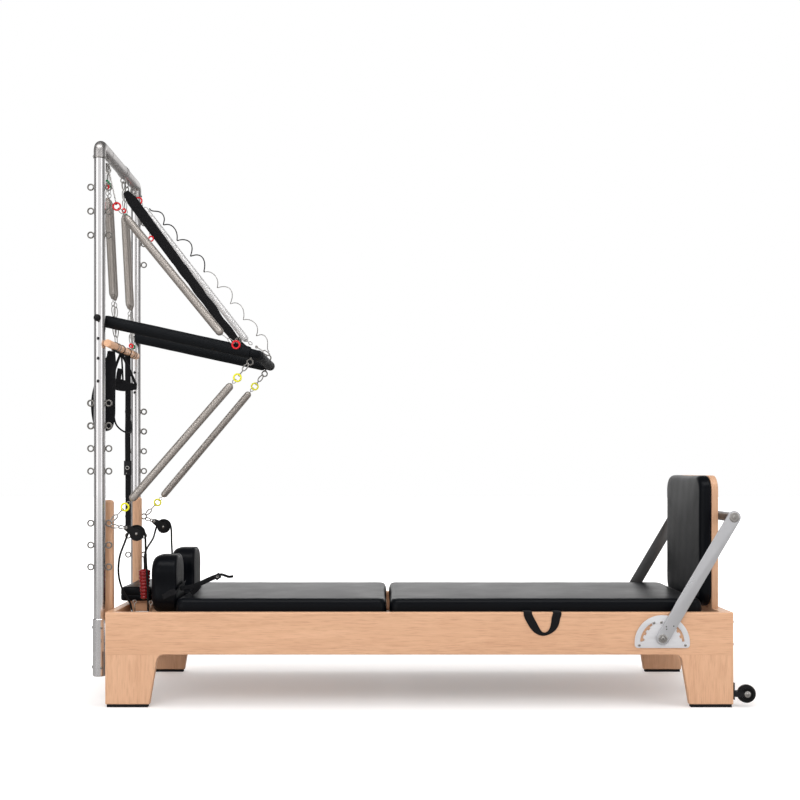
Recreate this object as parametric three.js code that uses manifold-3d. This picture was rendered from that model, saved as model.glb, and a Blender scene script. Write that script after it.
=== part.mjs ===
// A pilates tower unit: a maple reformer bed with a steel tower at its head end.
// Millimetres, +Z up. X runs from the head end to the foot end, Y across the bed.
import * as THREE from "three";
import { mergeVertices } from "three/addons/utils/BufferGeometryUtils.js";
import Module from "manifold-3d";

const wasm = await Module();
wasm.setup();

// Clearances
const seatGap = 0.3;
const runGap = 0.3;

// Bed frame
const frameLength = 2400;
const frameWidth = 735;
const boardThickness = 30;
const railTop = 362;
const railDepth = 161;
const legFootWidth = 168;
const legTopWidth = 200;
const legFillet = 26;
const edgeRound = 4;
const woodEase = 3;
const padThickness = 11;
const padInset = 6;
const headBoardThickness = 30;
const footBoardThickness = 45;

// Aluminium track
const trackRecess = 82;
const trackLedge = 34;
const trackWall = 6;
const trackDrop = 34;
const barRise = 2;
const springBarInset = 600;
const springBarWidth = 30;
const springBarHeight = 24;
const springHookInset = 25;
const hookBarY = 170;
const hookBarWidth = 16;
const carriageSpringYs = [-150, -50, 50, 150];

// Carriage
const baseThickness = 20;
const baseHeadClearance = 12;
const headZone = 255;
const wheelRadius = 18;
const wheelWidth = 14;
const axleRadius = 5;
const wheelInset = 12;
const wheelGap = 3;
const bearingWidth = 15;
const bearingLength = 26;
const bearingWall = 5;
const headAxleInset = 110;
const footAxleInset = 95;
const cushionThickness = 72;
const cushionInset = 47;
const cushionLength = 820;
const cushionRound = 20;
const cushionCorner = 34;
const cushionCrown = 6;
const sideDraw = 3;
const tongueWidth = 200;
const tongueOverlap = 60;
const padGap = 4;

// Shoulder rests and headrest
const restThickness = 104;
const restWidth = 170;
const restHeight = 232;
const restInset = 128;
const restRound = 34;
const restCorner = 48;
const restCrown = 3;
const headrestThickness = 60;
const headrestWidth = 330;
const headrestLength = 126;
const headrestGap = 19;
const headrestLift = 41;
const headrestHingeHeight = 19;
const headrestCorner = 26;
const headrestRound = 16;
const headrestCrown = 3;
const riserInset = 22;

// Conversion mat and its lifting strap
const matGap = 11;
const matFootInset = 100;
const matBoardThickness = 20;
const runnerWidth = 20;
const matInset = 14;
const strapInset = 730;
const strapSpan = 142;
const strapBand = 30;
const strapDrop = 92;
const webbing = 3;

// Jumpboard
const jumpboardSide = 117.5;
const jumpboardTop = 885;
const jumpboardWood = 26;
const jumpboardPad = 48;
const boardPadCrown = 3;
const boardPadRound = 18;
const jumpboardCorner = 60;
const jumpboardInset = 17;
const pegRadius = 9;
const pegLength = 60;
const pegSpacing = 300;
const pegClearance = 2;

// Footbar
const plateThickness = 6;
const plateRadius = 105;
const plateFoot = 20;
const plateCorner = 12;
const plateInset = 274;
const plateDrop = 114;
const slotRadius = 80;
const slotWidth = 9;
const slotArcs = [[2, 62], [118, 178]];
const pivotRise = 17;
const footbarLength = 535;
const footbarTubeRadius = 16;
const armWidth = 50;
const armThickness = 8;
const armGap = 1;
const pivotRadius = 8;
const pivotHead = 4;
const pivotHeadRadius = 14;
const jumpboardClearance = 2.5;

// Transport wheels
const rollerRadius = 35;
const rollerWidth = 22;
const rollerX = 53;
const rollerZ = 50;
const rollerAxle = 4;
const cheekThickness = 3;
const cheekGap = 1.5;
const bracketPlate = 4;
const bracketHeight = 64;
const bracketDrop = 20;
const cheekReach = 10;
const rollerTread = 5;

// Tower
const towerTubeRadius = 22;
const towerWall = 2.5;
const towerStandoff = 39;
const towerInset = 71;
const towerTop = 2190;
const elbowRadius = 52;
const elbowBend = 27;
const spigotWall = 2.8;
const spigotLength = 60;
const socketWall = 4;
const socketFoot = 108;
const socketTop = 330;
const flangeWidth = 36;
const flangeInset = 4;
const eyeRadius = 11.5;
const eyeWire = 2.5;
const eyeReach = 35;
const eyeLevels = [2005, 1912, 1819, 1166, 1078, 990, 902, 700, 615, 530];
const pinLevels = [1415, 1338, 1250];
const postWidth = 40;
const postThickness = 38;
const postTop = 782;
const postInset = 130;
const postFoot = 214;
const postCorner = 12;

// Push-through bar
const pivotLevel = 1493;
const pinRadius = 6;
const knobRadius = 14;
const knobNeck = 14;
const bossReach = 10;
const armInset = 46.5;
const armLength = 620;
const topEyeInsets = [84, 20];
const lowEyeInset = 21;
const armSlope = 12.3;
const barTubeRadius = 14;
const sleeveRadius = 21;
const sleeveStart = 8;
const barCorner = 26;
const gripRadius = 20;

// Springs, roll-down bar and straps
const wireRadius = 2.2;
const coilRadius = 13;
const hangCurls = 4;
const slantCurls = 5;
const hangBody = 404;
const hangDrop = 138;
const hangSpread = 17;
const slantHookRuns = [40, 30];
const slantHookFalls = [175, 52];
const slantLead = 44;
const lowHookRun = 36;
const lowHookFall = 64;
const footHookRun = 66;
const footHookRise = 56;
const lowLead = 28;
const lowEyeLevel = 700;
const dowelRadius = 15;
const dowelLength = 469;
const dowelLevel = 1396;
const dowelShift = -93;
const nearEyeInset = 104;
const middleEyeY = 72.5;
const farEyeInset = 54;
const safetyWidths = [46, 33];
const safetySag = 34;
const safetySteps = 8;
const safetyThickness = 6;
const safetyTop = { out: 26, y: 5, drop: 67 };
const linkRadius = 2.6;
const loopStrapY = -247;
const loopStrapWidth = 19;
const loopLow = 1040;
const loopHeight = 210;
const loopWidth = 104;
const longStrapY = -11;
const longStrapWidth = 23;
const longStrapLow = 700;
const stirrupY = -115;
const stirrupWidth = 108;
const stirrupDrop = 140;
const stirrupBand = 14;

// Pulleys, ropes and hand grip
const pulleyX = 133;
const pulleyZ = 656;
const sheaveRadius = 28;
const sheaveWidth = 12;
const sheaveAxle = 4;
const sheaveGroove = 6;
const hangerRun = 40;
const hangerRise = 24;
const cheekRadius = 18;
const hangerRadius = 10;
const hangerPin = 6;
const hangerLink = 3;
const cheekPlate = 2.5;
const ropeRadius = 4;
const hangerClearance = 0.7;
const ropeOverSheave = 31.5;
const gripShift = 23;
const gripY = -217.5;
const gripHeadRadius = 24;
const gripTailRadius = 15;
const gripLow = 396;
const gripLength = 118;

// Colours
const maple = { color: 0xdcb48c, roughness: 0.5, metalness: 0 };
const leather = { color: 0x1d1f23, roughness: 0.45, metalness: 0 };
const aluminium = { color: 0xc4c5c9, roughness: 0.3, metalness: 0.9 };
const springSteel = { color: 0xa9a29a, roughness: 0.35, metalness: 0.8 };
const blackRubber = { color: 0x191a1c, roughness: 0.8, metalness: 0 };
const blackWebbing = { color: 0x131416, roughness: 0.9, metalness: 0 };
const blackSteel = { color: 0x2a2b2e, roughness: 0.4, metalness: 0.5 };
const redGrip = { color: 0x7a1420, roughness: 0.5, metalness: 0 };

const part = new THREE.Group();

function place(parent, name, geometry, look) {
  const mesh = new THREE.Mesh(geometry, new THREE.MeshStandardMaterial(look));
  mesh.name = name;
  parent.add(mesh);
  return mesh;
}

function solidOf(geometry) {
  const bare = geometry.clone();
  bare.deleteAttribute("normal");
  bare.deleteAttribute("uv");
  const merged = mergeVertices(bare, 0.001);
  const vertProperties = new Float32Array(merged.attributes.position.array);
  const triVerts = new Uint32Array(merged.index.array);
  return new wasm.Manifold(new wasm.Mesh({ numProp: 3, vertProperties, triVerts }));
}

function geometryOf(solid) {
  const mesh = solid.getMesh();
  const geometry = new THREE.BufferGeometry();
  geometry.setAttribute("position", new THREE.BufferAttribute(new Float32Array(mesh.vertProperties), 3));
  geometry.setIndex(new THREE.BufferAttribute(new Uint32Array(mesh.triVerts), 1));
  return geometry;
}

function join(geometries) {
  let whole = solidOf(geometries[0]);
  for (const geometry of geometries.slice(1)) {
    whole = whole.add(solidOf(geometry));
  }
  return geometryOf(whole);
}

function cut(geometry, tools) {
  let whole = solidOf(geometry);
  for (const tool of tools) {
    whole = whole.subtract(solidOf(tool));
  }
  return geometryOf(whole);
}

function vec(x, y, z) {
  return new THREE.Vector3(x, y, z);
}

function block(low, high) {
  const size = [high[0] - low[0], high[1] - low[1], high[2] - low[2]];
  const middle = [(high[0] + low[0]) / 2, (high[1] + low[1]) / 2, (high[2] + low[2]) / 2];
  return new THREE.BoxGeometry(...size).translate(...middle);
}

// A straight round bar between two points
function rod(from, to, radius, sides = 12) {
  const along = to.clone().sub(from);
  const geometry = new THREE.CylinderGeometry(radius, radius, along.length(), sides);
  const turn = new THREE.Quaternion().setFromUnitVectors(vec(0, 1, 0), along.clone().normalize());
  geometry.applyQuaternion(turn);
  const middle = from.clone().add(to).multiplyScalar(0.5);
  return geometry.translate(middle.x, middle.y, middle.z);
}

// A round section, or a pipe's ring section, for a tube along a path
function roundSection(radius, sides, bore = 0) {
  const section = new THREE.Shape();
  const corners = (r) => Array.from({ length: sides }, (unused, i) => {
    const angle = (2 * Math.PI * i) / sides;
    return new THREE.Vector2(r * Math.cos(angle), r * Math.sin(angle));
  });
  section.setFromPoints(corners(radius));
  if (bore > 0) {
    section.holes.push(new THREE.Path().setFromPoints(corners(bore)));
  }
  return section;
}

function tubeAlong(path, radius, sides, steps, bore = 0) {
  return new THREE.ExtrudeGeometry(roundSection(radius, sides, bore), { steps, extrudePath: path });
}

// A pipe standing on the Z axis, open at both ends
function pipe(radius, bore, low, high, sides = 16) {
  const profile = [[bore, low], [radius, low], [radius, high], [bore, high], [bore, low]];
  const points = profile.map(([r, z]) => new THREE.Vector2(r, z));
  return new THREE.LatheGeometry(points, sides).rotateX(Math.PI / 2);
}

// A wheel or boss turned about an axis that runs along Y, from its half outline
function turnedAlongY(profile, sides) {
  const points = profile.map(([r, y]) => new THREE.Vector2(r, y));
  return new THREE.LatheGeometry(points, sides);
}

// An outline in the X-Z plane given thickness along Y, from yLow to yHigh, with eased edges
function boardXZ(shape, yLow, yHigh, ease = 0, curveSegments = 5) {
  const options = {
    depth: yHigh - yLow - 2 * ease,
    bevelEnabled: ease > 0,
    bevelSize: ease,
    bevelOffset: -ease,
    bevelThickness: ease,
    bevelSegments: 2,
    curveSegments,
  };
  const geometry = new THREE.ExtrudeGeometry(shape, options);
  geometry.rotateX(Math.PI / 2);
  return geometry.translate(0, yHigh - ease, 0);
}

function roundedRectangle(left, right, bottom, top, radius) {
  const shape = new THREE.Shape();
  shape.moveTo(left + radius, bottom);
  shape.lineTo(right - radius, bottom);
  shape.absarc(right - radius, bottom + radius, radius, -Math.PI / 2, 0);
  shape.lineTo(right, top - radius);
  shape.absarc(right - radius, top - radius, radius, 0, Math.PI / 2);
  shape.lineTo(left + radius, top);
  shape.absarc(left + radius, top - radius, radius, Math.PI / 2, Math.PI);
  shape.lineTo(left, bottom + radius);
  shape.absarc(left + radius, bottom + radius, radius, Math.PI, 1.5 * Math.PI);
  return shape;
}

// A closed skin through rings of equal point counts, capped at a point at each end
function skinThrough(rings, firstTip, lastTip) {
  const count = rings[0].length;
  const positions = [];
  const faces = [];
  for (const ring of rings) {
    ring.forEach((point) => positions.push(point.x, point.y, point.z));
  }
  const firstIndex = rings.length * count;
  positions.push(firstTip.x, firstTip.y, firstTip.z, lastTip.x, lastTip.y, lastTip.z);
  for (let i = 0; i < count; i += 1) {
    const next = (i + 1) % count;
    faces.push(firstIndex, next, i);
    for (let r = 0; r < rings.length - 1; r += 1) {
      const a = r * count;
      const b = a + count;
      faces.push(a + i, a + next, b + next, a + i, b + next, b + i);
    }
    const last = (rings.length - 1) * count;
    faces.push(firstIndex + 1, last + i, last + next);
  }
  const geometry = new THREE.BufferGeometry();
  geometry.setAttribute("position", new THREE.BufferAttribute(new Float32Array(positions), 3));
  geometry.setIndex(faces);
  return geometry;
}

// Turns a skin the right way round: its faces point outwards when its volume is positive
function facingOut(geometry) {
  const points = geometry.attributes.position;
  const index = geometry.index;
  const corner = (i) => vec(0, 0, 0).fromBufferAttribute(points, index ? index.getX(i) : i);
  const total = index ? index.count : points.count;
  let volume = 0;
  for (let i = 0; i < total; i += 3) {
    volume += corner(i).dot(corner(i + 1).cross(corner(i + 2)));
  }
  if (volume > 0) {
    return geometry;
  }
  const order = Array.from({ length: total }, (unused, i) => (index ? index.getX(i) : i));
  for (let i = 0; i < total; i += 3) {
    [order[i + 1], order[i + 2]] = [order[i + 2], order[i + 1]];
  }
  geometry.setIndex(order);
  return geometry;
}

// A path through given points, met one by one, for tubes with real bends
class BentPath extends THREE.Curve {
  constructor(points) {
    super();
    this.points = points;
  }

  getPoint(t) {
    const last = this.points.length - 1;
    const at = Math.min(Math.max(t, 0), 1) * last;
    const i = Math.min(Math.floor(at), last - 1);
    return this.points[i].clone().lerp(this.points[i + 1], at - i);
  }

  getPointAt(u) {
    return this.getPoint(u);
  }

  getTangentAt(u) {
    return this.getTangent(u);
  }
}

// Points of a round bend about a centre, in the plane of two unit directions
function bend(centre, radius, first, second, pieces = 4) {
  return Array.from({ length: pieces + 1 }, (unused, i) => {
    const angle = (Math.PI / 2) * (i / pieces);
    const out = first.clone().multiplyScalar(radius * Math.cos(angle));
    return centre.clone().add(out).addScaledVector(second, radius * Math.sin(angle));
  });
}

// A firm pad lying flat: eased edges, sides drawn in between the corners, a crowned top
function pad({ length, width, low, high, corner, round, crown, drawIn }) {
  const cornerSteps = 3;
  const outline = (inset, z) => {
    const ring = [];
    const halfX = length / 2 - inset;
    const halfY = width / 2 - inset;
    const r = Math.max(corner - inset, 2);
    const signs = [[1, 1], [-1, 1], [-1, -1], [1, -1]];
    signs.forEach(([sx, sy], quarter) => {
      for (let k = 0; k <= cornerSteps; k += 1) {
        const angle = (Math.PI / 2) * (quarter + k / cornerSteps);
        const x = sx * (halfX - r) + r * Math.cos(angle);
        ring.push(vec(x, sy * (halfY - r) + r * Math.sin(angle), z));
      }
      const alongX = quarter % 2 === 0;
      const x = alongX ? 0 : sx * (halfX - drawIn);
      ring.push(vec(x, alongX ? sy * (halfY - drawIn) : 0, z));
    });
    return ring;
  };
  const foot = round / 3;
  const rings = [
    outline(foot, low),
    outline(0, low + foot),
    outline(0, high - round),
    outline(round * 0.29, high - round * 0.29),
    outline(round, high),
    outline(round * 2.6, high + crown * 0.75),
  ];
  return skinThrough(rings, vec(0, 0, low), vec(0, 0, high + crown));
}

// Least distance between any two stretches of a wound wire that aren't neighbours, less its thickness
function leastGap(points, radius, neighbours) {
  let least = Infinity;
  for (let i = 0; i < points.length; i += 1) {
    for (let j = i + neighbours; j < points.length; j += 1) {
      least = Math.min(least, points[i].distanceTo(points[j]) - 2 * radius);
    }
  }
  return least;
}

// A wound spring as one wire: its hooked end, the curls about its axis, the other hooked end
function springWire(name, before, bodyStart, bodyEnd, after, curls) {
  const stepsPerCurl = 8;
  const axis = bodyEnd.clone().sub(bodyStart);
  const along = axis.clone().normalize();
  const sideA = vec(0, 1, 0).cross(along).normalize();
  const sideB = along.clone().cross(sideA);
  const points = [...before];
  for (const back of [2 * coilRadius, coilRadius]) {
    points.push(bodyStart.clone().addScaledVector(along, -back));
  }
  for (let i = 0; i <= curls * stepsPerCurl; i += 1) {
    const angle = (2 * Math.PI * i) / stepsPerCurl;
    const point = bodyStart.clone().addScaledVector(axis, i / (curls * stepsPerCurl));
    point.addScaledVector(sideA, coilRadius * Math.cos(angle));
    points.push(point.addScaledVector(sideB, coilRadius * Math.sin(angle)));
  }
  for (const beyond of [coilRadius, 2 * coilRadius]) {
    points.push(bodyEnd.clone().addScaledVector(along, beyond));
  }
  points.push(...after);
  console.log(`${name}: least gap to itself ${leastGap(points, wireRadius, 6).toFixed(2)} mm`);
  return sweep(points, wireRadius, 5);
}

// A round wire through points, closed at its two ends, its section carried along without twist
function sweep(points, radius, sides) {
  const last = points.length - 1;
  const tangents = points.map((point, i) => {
    const before = points[Math.max(i - 1, 0)];
    return points[Math.min(i + 1, last)].clone().sub(before).normalize();
  });
  let across = vec(0, 1, 0).cross(tangents[0]);
  if (across.length() < 0.1) {
    across = vec(1, 0, 0).cross(tangents[0]);
  }
  const rings = points.map((point, i) => {
    across.addScaledVector(tangents[i], -across.dot(tangents[i])).normalize();
    const other = tangents[i].clone().cross(across);
    return Array.from({ length: sides }, (unused, k) => {
      const angle = (2 * Math.PI * k) / sides;
      const spot = point.clone().addScaledVector(across, radius * Math.cos(angle));
      return spot.addScaledVector(other, radius * Math.sin(angle));
    });
  });
  return facingOut(skinThrough(rings, points[0], points[last]));
}

// A screw eye: a ring standing in the X-Z plane on a short stem
function eye(centre, stemFoot) {
  const ring = new THREE.TorusGeometry(eyeRadius, eyeWire, 3, 8).rotateX(Math.PI / 2);
  ring.translate(centre.x, centre.y, centre.z);
  const towards = stemFoot.clone().sub(centre).normalize();
  const stemTop = centre.clone().addScaledVector(towards, eyeRadius);
  return [ring, rod(stemTop, stemFoot, eyeWire + 1, 4)];
}

// Places that several pieces share
const halfLength = frameLength / 2;
const halfWidth = frameWidth / 2;
const insideWidth = halfWidth - boardThickness;
const cushionWidth = frameWidth - 2 * cushionInset;
const restSpacing = cushionWidth - 2 * restInset;
const jumpboardWidth = frameWidth - 2 * jumpboardSide;
const towerSpacing = frameWidth - 2 * towerInset;
const postSpacing = frameWidth - 2 * postInset;
const armSpacing = towerSpacing - 2 * armInset;
const trackTop = railTop - trackRecess;
const springBarX = halfLength - springBarInset;
const carriageFootX = headZone + cushionLength - halfLength;
const matFootX = halfLength - matFootInset;
const strapX = halfLength - strapInset;
const plateX = halfLength - plateInset;
const plateCentreZ = railTop - plateDrop;
const railBottom = railTop - railDepth;
const woodFoot = padThickness + seatGap;
const baseLow = trackTop + 2 * wheelRadius + 2 * runGap + wheelGap;
const baseTop = baseLow + baseThickness;
const axleZ = trackTop + wheelRadius + runGap;
const baseHeadX = -halfLength + headBoardThickness + baseHeadClearance;
const cushionLow = baseTop + seatGap;
const cushionTop = cushionLow + cushionThickness;
const towerX = -halfLength - towerStandoff;
const towerY = towerSpacing / 2;
const topEyes = [nearEyeInset - towerY, middleEyeY, towerY - farEyeInset];
const hangEyes = topEyes.slice(0, 2);
const crossbarZ = towerTop - towerTubeRadius;
const seamZ = crossbarZ - elbowRadius;
const pinBore = pinRadius + runGap;
const pinHole = pinBore / Math.cos(Math.PI / 8);
const slope = (armSlope * Math.PI) / 180;
const sides = [["near", -1], ["far", 1]];
const ends = [["head", -1], ["foot", 1]];

// A point of the push-through bar, given along and above its arms, in the room's directions
function onBar(along, above, y) {
  const x = towerX + along * Math.cos(slope) + above * Math.sin(slope);
  return vec(x, y, pivotLevel - along * Math.sin(slope) + above * Math.cos(slope));
}

// Side frames with their legs, one board each, pads under the legs
function sideOutline() {
  const shape = new THREE.Shape();
  const legInner = halfLength - legFootWidth;
  const legShoulder = halfLength - legTopWidth;
  const fillet = Math.min(legFillet, (railBottom - woodFoot) / 2);
  const slant = (legTopWidth - legFootWidth) / (railBottom - woodFoot);
  shape.moveTo(-halfLength, woodFoot);
  shape.lineTo(-legInner, woodFoot);
  shape.lineTo(-legShoulder - slant * fillet, railBottom - fillet);
  shape.quadraticCurveTo(-legShoulder, railBottom, -legShoulder + fillet, railBottom);
  shape.lineTo(legShoulder - fillet, railBottom);
  shape.quadraticCurveTo(legShoulder, railBottom, legShoulder + slant * fillet, railBottom - fillet);
  shape.lineTo(legInner, woodFoot);
  shape.lineTo(halfLength, woodFoot);
  shape.lineTo(halfLength, railTop);
  shape.lineTo(-halfLength, railTop);
  return shape;
}

const pivotZ = plateCentreZ + pivotRise;
const pivotHole = (pivotRadius + runGap) / Math.cos(Math.PI / 10);
const bed = new THREE.Group();
part.add(bed);
for (const [side, sign] of sides) {
  const inner = sign * insideWidth;
  const outer = sign * halfWidth;
  const board = boardXZ(sideOutline(), Math.min(inner, outer), Math.max(inner, outer), edgeRound);
  const hole = rod(vec(plateX, outer * 1.1, pivotZ), vec(plateX, inner + sign * 8, pivotZ), pivotHole);
  place(bed, `side_frame_${side}`, cut(board, [hole]), maple);
  for (const [end, way] of ends) {
    const outerX = way * (halfLength - padInset);
    const innerX = way * (halfLength - legFootWidth + padInset);
    const yLow = Math.min(inner, outer) + padInset / 2;
    const yHigh = Math.max(inner, outer) - padInset / 2;
    const low = [Math.min(outerX, innerX), yLow, 0];
    const foot = block(low, [Math.max(outerX, innerX), yHigh, padThickness]);
    place(bed, `foot_pad_${side}_${end}`, foot, blackRubber);
  }
}

// End boards between the sides; the foot board takes the jumpboard's two pegs
const boardY = insideWidth - seatGap;
const headBoardLow = [-halfLength, -boardY, railBottom];
const headBoard = block(headBoardLow, [headBoardThickness - halfLength, boardY, railTop]);
place(bed, "head_board", headBoard, maple);
const jumpboardBackX = halfLength - edgeRound - jumpboardInset;
const jumpboardFrontX = jumpboardBackX - jumpboardWood;
const pegX = (jumpboardBackX + jumpboardFrontX) / 2;
const footBoardX = halfLength - footBoardThickness;
const pegHoles = [-1, 1].map((sign) => {
  const y = (sign * pegSpacing) / 2;
  const holeFoot = vec(pegX, y, railTop - pegLength - pegClearance);
  return rod(vec(pegX, y, railTop + pegClearance), holeFoot, pegRadius + runGap);
});
const footBoard = block([footBoardX, -boardY, railBottom], [halfLength, boardY, railTop]);
place(bed, "foot_board", cut(footBoard, pegHoles), maple);

// Track frame: an angle along each side, joined by a spring bar and a head bar
const trackY = insideWidth - seatGap;
const trackHeadX = -halfLength + headBoardThickness + seatGap;
const trackFootX = footBoardX - seatGap;
const trackPieces = [];
for (const [, sign] of sides) {
  const outer = sign * trackY;
  const ledge = [sign * (trackY - trackLedge), outer].sort((a, b) => a - b);
  const web = [sign * (trackY - trackWall), outer].sort((a, b) => a - b);
  trackPieces.push(block([trackHeadX, ledge[0], trackTop - trackWall], [trackFootX, ledge[1], trackTop]));
  trackPieces.push(block([trackHeadX, web[0], trackTop - trackDrop], [trackFootX, web[1], trackTop - 1]));
}
const barLow = trackTop - trackDrop + barRise;
const headBarX = trackHeadX + headAxleInset;
for (const x of [springBarX, headBarX]) {
  const reach = trackY - 1;
  const low = [x - springBarWidth / 2, -reach, barLow];
  trackPieces.push(block(low, [x + springBarWidth / 2, reach, barLow + springBarHeight]));
}
place(bed, "track_frame", join(trackPieces), aluminium);

// Carriage: a base board with four bearing blocks and the riser under the headrest
const carriage = new THREE.Group();
part.add(carriage);
const baseWidth = 2 * (insideWidth - wheelInset);
const axleXs = [["head", baseHeadX + headAxleInset], ["foot", carriageFootX - footAxleInset]];
const wheelOuterY = insideWidth - wheelInset;
const bearingOuterY = wheelOuterY - wheelWidth - wheelGap;
const bearingBores = [];
const basePieces = [block([baseHeadX, -baseWidth / 2, baseLow], [carriageFootX, baseWidth / 2, baseTop])];
for (const [end, x] of axleXs) {
  for (const [, sign] of sides) {
    const y = [sign * (bearingOuterY - bearingWidth), sign * bearingOuterY].sort((a, b) => a - b);
    const low = [x - bearingLength / 2, y[0], axleZ - axleRadius - runGap - bearingWall];
    basePieces.push(block(low, [x + bearingLength / 2, y[1], baseLow + 1]));
  }
  const reach = baseWidth / 2 + 1;
  bearingBores.push(rod(vec(x, -reach, axleZ), vec(x, reach, axleZ), axleRadius + runGap));
  const wheels = sides.map(([, sign]) => {
    const from = vec(x, sign * wheelOuterY, axleZ);
    return rod(from, vec(x, sign * (wheelOuterY - wheelWidth), axleZ), wheelRadius, 16);
  });
  const spindle = rod(vec(x, -wheelOuterY + 2, axleZ), vec(x, wheelOuterY - 2, axleZ), axleRadius);
  place(carriage, `wheel_axle_${end}`, join([...wheels, spindle]), blackSteel);
}
const restFootX = carriageFootX - cushionLength - padGap / 2;
const restHeadX = restFootX - restThickness;
const headrestFootX = restHeadX - headrestGap;
const headrestLow = baseTop + headrestLift;
const riserY = headrestWidth / 2 - riserInset;
const riserLow = [baseHeadX, -riserY, baseTop - 1];
const riserHigh = [headrestFootX - riserInset / 2, riserY, headrestLow - seatGap];
basePieces.push(block(riserLow, riserHigh));
place(carriage, "carriage_base", cut(join(basePieces), bearingBores), maple);

// Carriage cushion, with a tongue between the shoulder rests up to the headrest
const cushionBody = { high: cushionTop - cushionCrown, crown: cushionCrown };
const soft = { ...cushionBody, low: cushionLow, round: cushionRound };
const cushionSize = { width: cushionWidth, corner: cushionCorner, drawIn: sideDraw };
const mainPad = pad({ ...soft, ...cushionSize, length: cushionLength });
mainPad.translate(carriageFootX - cushionLength / 2, 0, 0);
const tongueHeadX = restHeadX + padGap;
const tongueLength = carriageFootX - cushionLength + tongueOverlap - tongueHeadX;
const tongue = pad({ ...soft, length: tongueLength, width: tongueWidth, corner: cushionCorner, drawIn: 1 });
tongue.translate(tongueHeadX + tongueLength / 2, 0, 0);
place(carriage, "carriage_cushion", join([facingOut(mainPad), facingOut(tongue)]), leather);

// Shoulder rests: thick upright pads, their faces towards the feet
for (const [side, sign] of sides) {
  const shape = { length: restHeight, width: restWidth, low: 0, corner: restCorner, round: restRound };
  const rest = pad({ ...shape, high: restThickness - restCrown, crown: restCrown, drawIn: 4 });
  rest.rotateY(-Math.PI / 2);
  const y = (sign * restSpacing) / 2;
  rest.translate(restFootX, y, cushionLow + restHeight / 2);
  place(carriage, `shoulder_rest_${side}`, facingOut(rest), leather);
}

// Headrest, hinged along its edge nearest the shoulders
const headrestHigh = headrestLow + headrestThickness - headrestCrown;
const headrestSoft = { low: headrestLow, high: headrestHigh, round: headrestRound, crown: headrestCrown };
const headrestSize = {
  length: headrestLength,
  width: headrestWidth,
  corner: headrestCorner,
  drawIn: sideDraw,
};
const headrest = pad({ ...headrestSoft, ...headrestSize });
headrest.translate(headrestFootX - headrestLength / 2, 0, 0);
place(carriage, "headrest", facingOut(headrest), leather);
console.log(`headrest hinge: x ${headrestFootX}, z ${headrestLow + headrestHingeHeight}`);

// Carriage springs side by side on one hook bar, from the carriage to the spring bar
const springSetLow = barLow + springBarHeight;
const springSetZ = springSetLow + seatGap + coilRadius;
const springSetHead = carriageFootX - springHookInset;
const springSet = carriageSpringYs.map((y) => {
  return rod(vec(springSetHead, y, springSetZ), vec(springBarX, y, springSetZ), coilRadius, 8);
});
const hookBarFoot = springSetHead + hookBarWidth / 4;
const hookBarLow = [hookBarFoot - hookBarWidth, -hookBarY, springSetZ - coilRadius];
springSet.push(block(hookBarLow, [hookBarFoot, hookBarY, baseLow - seatGap]));
place(carriage, "carriage_spring_set", join(springSet), springSteel);

// Conversion mat: a board on two runners that stand on the track, the cushion, the lifting strap
const mat = new THREE.Group();
part.add(mat);
const matHeadX = carriageFootX + matGap;
const matLength = matFootX - matHeadX;
const runnerY = [insideWidth - wheelInset, insideWidth - wheelInset - runnerWidth];
const matBoardLow = cushionLow - seatGap - matBoardThickness;
const matPieces = [
  block(
    [matHeadX + matInset, -runnerY[0], matBoardLow],
    [matFootX - matInset, runnerY[0], cushionLow - seatGap],
  ),
];
for (const [, sign] of sides) {
  const y = [sign * runnerY[0], sign * runnerY[1]].sort((a, b) => a - b);
  const low = [matHeadX + matInset, y[0], trackTop + seatGap];
  matPieces.push(block(low, [matFootX - matInset, y[1], matBoardLow + 1]));
}
place(mat, "mat_board", join(matPieces), maple);
const matPad = pad({ ...soft, ...cushionSize, length: matLength });
matPad.translate(matHeadX + matLength / 2, 0, 0);
place(mat, "mat_cushion", facingOut(matPad), leather);

// The lifting strap comes out over the near rail and hangs down its face in a loop
const strapTop = railTop + seatGap + webbing;
const strapOut = halfWidth + seatGap;
const loopRadius = strapSpan / 2;
const loopZ = strapTop - strapDrop + loopRadius;
const bandShape = new THREE.Shape();
bandShape.moveTo(strapX - loopRadius, strapTop);
bandShape.lineTo(strapX - loopRadius, loopZ);
bandShape.absarc(strapX, loopZ, loopRadius, Math.PI, 2 * Math.PI);
bandShape.lineTo(strapX + loopRadius, strapTop);
bandShape.lineTo(strapX + loopRadius - strapBand, strapTop);
bandShape.lineTo(strapX + loopRadius - strapBand, loopZ);
bandShape.absarc(strapX, loopZ, loopRadius - strapBand, 2 * Math.PI, Math.PI, true);
bandShape.lineTo(strapX - loopRadius + strapBand, strapTop);
const strapPieces = [boardXZ(bandShape, -strapOut - webbing, -strapOut)];
const strapInner = cushionWidth / 2 + seatGap;
for (const x of [strapX - loopRadius, strapX + loopRadius - strapBand]) {
  const low = [x, -strapOut - webbing, railTop + seatGap];
  strapPieces.push(block(low, [x + strapBand, -strapInner, strapTop]));
}
place(mat, "mat_strap", join(strapPieces), blackWebbing);

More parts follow.
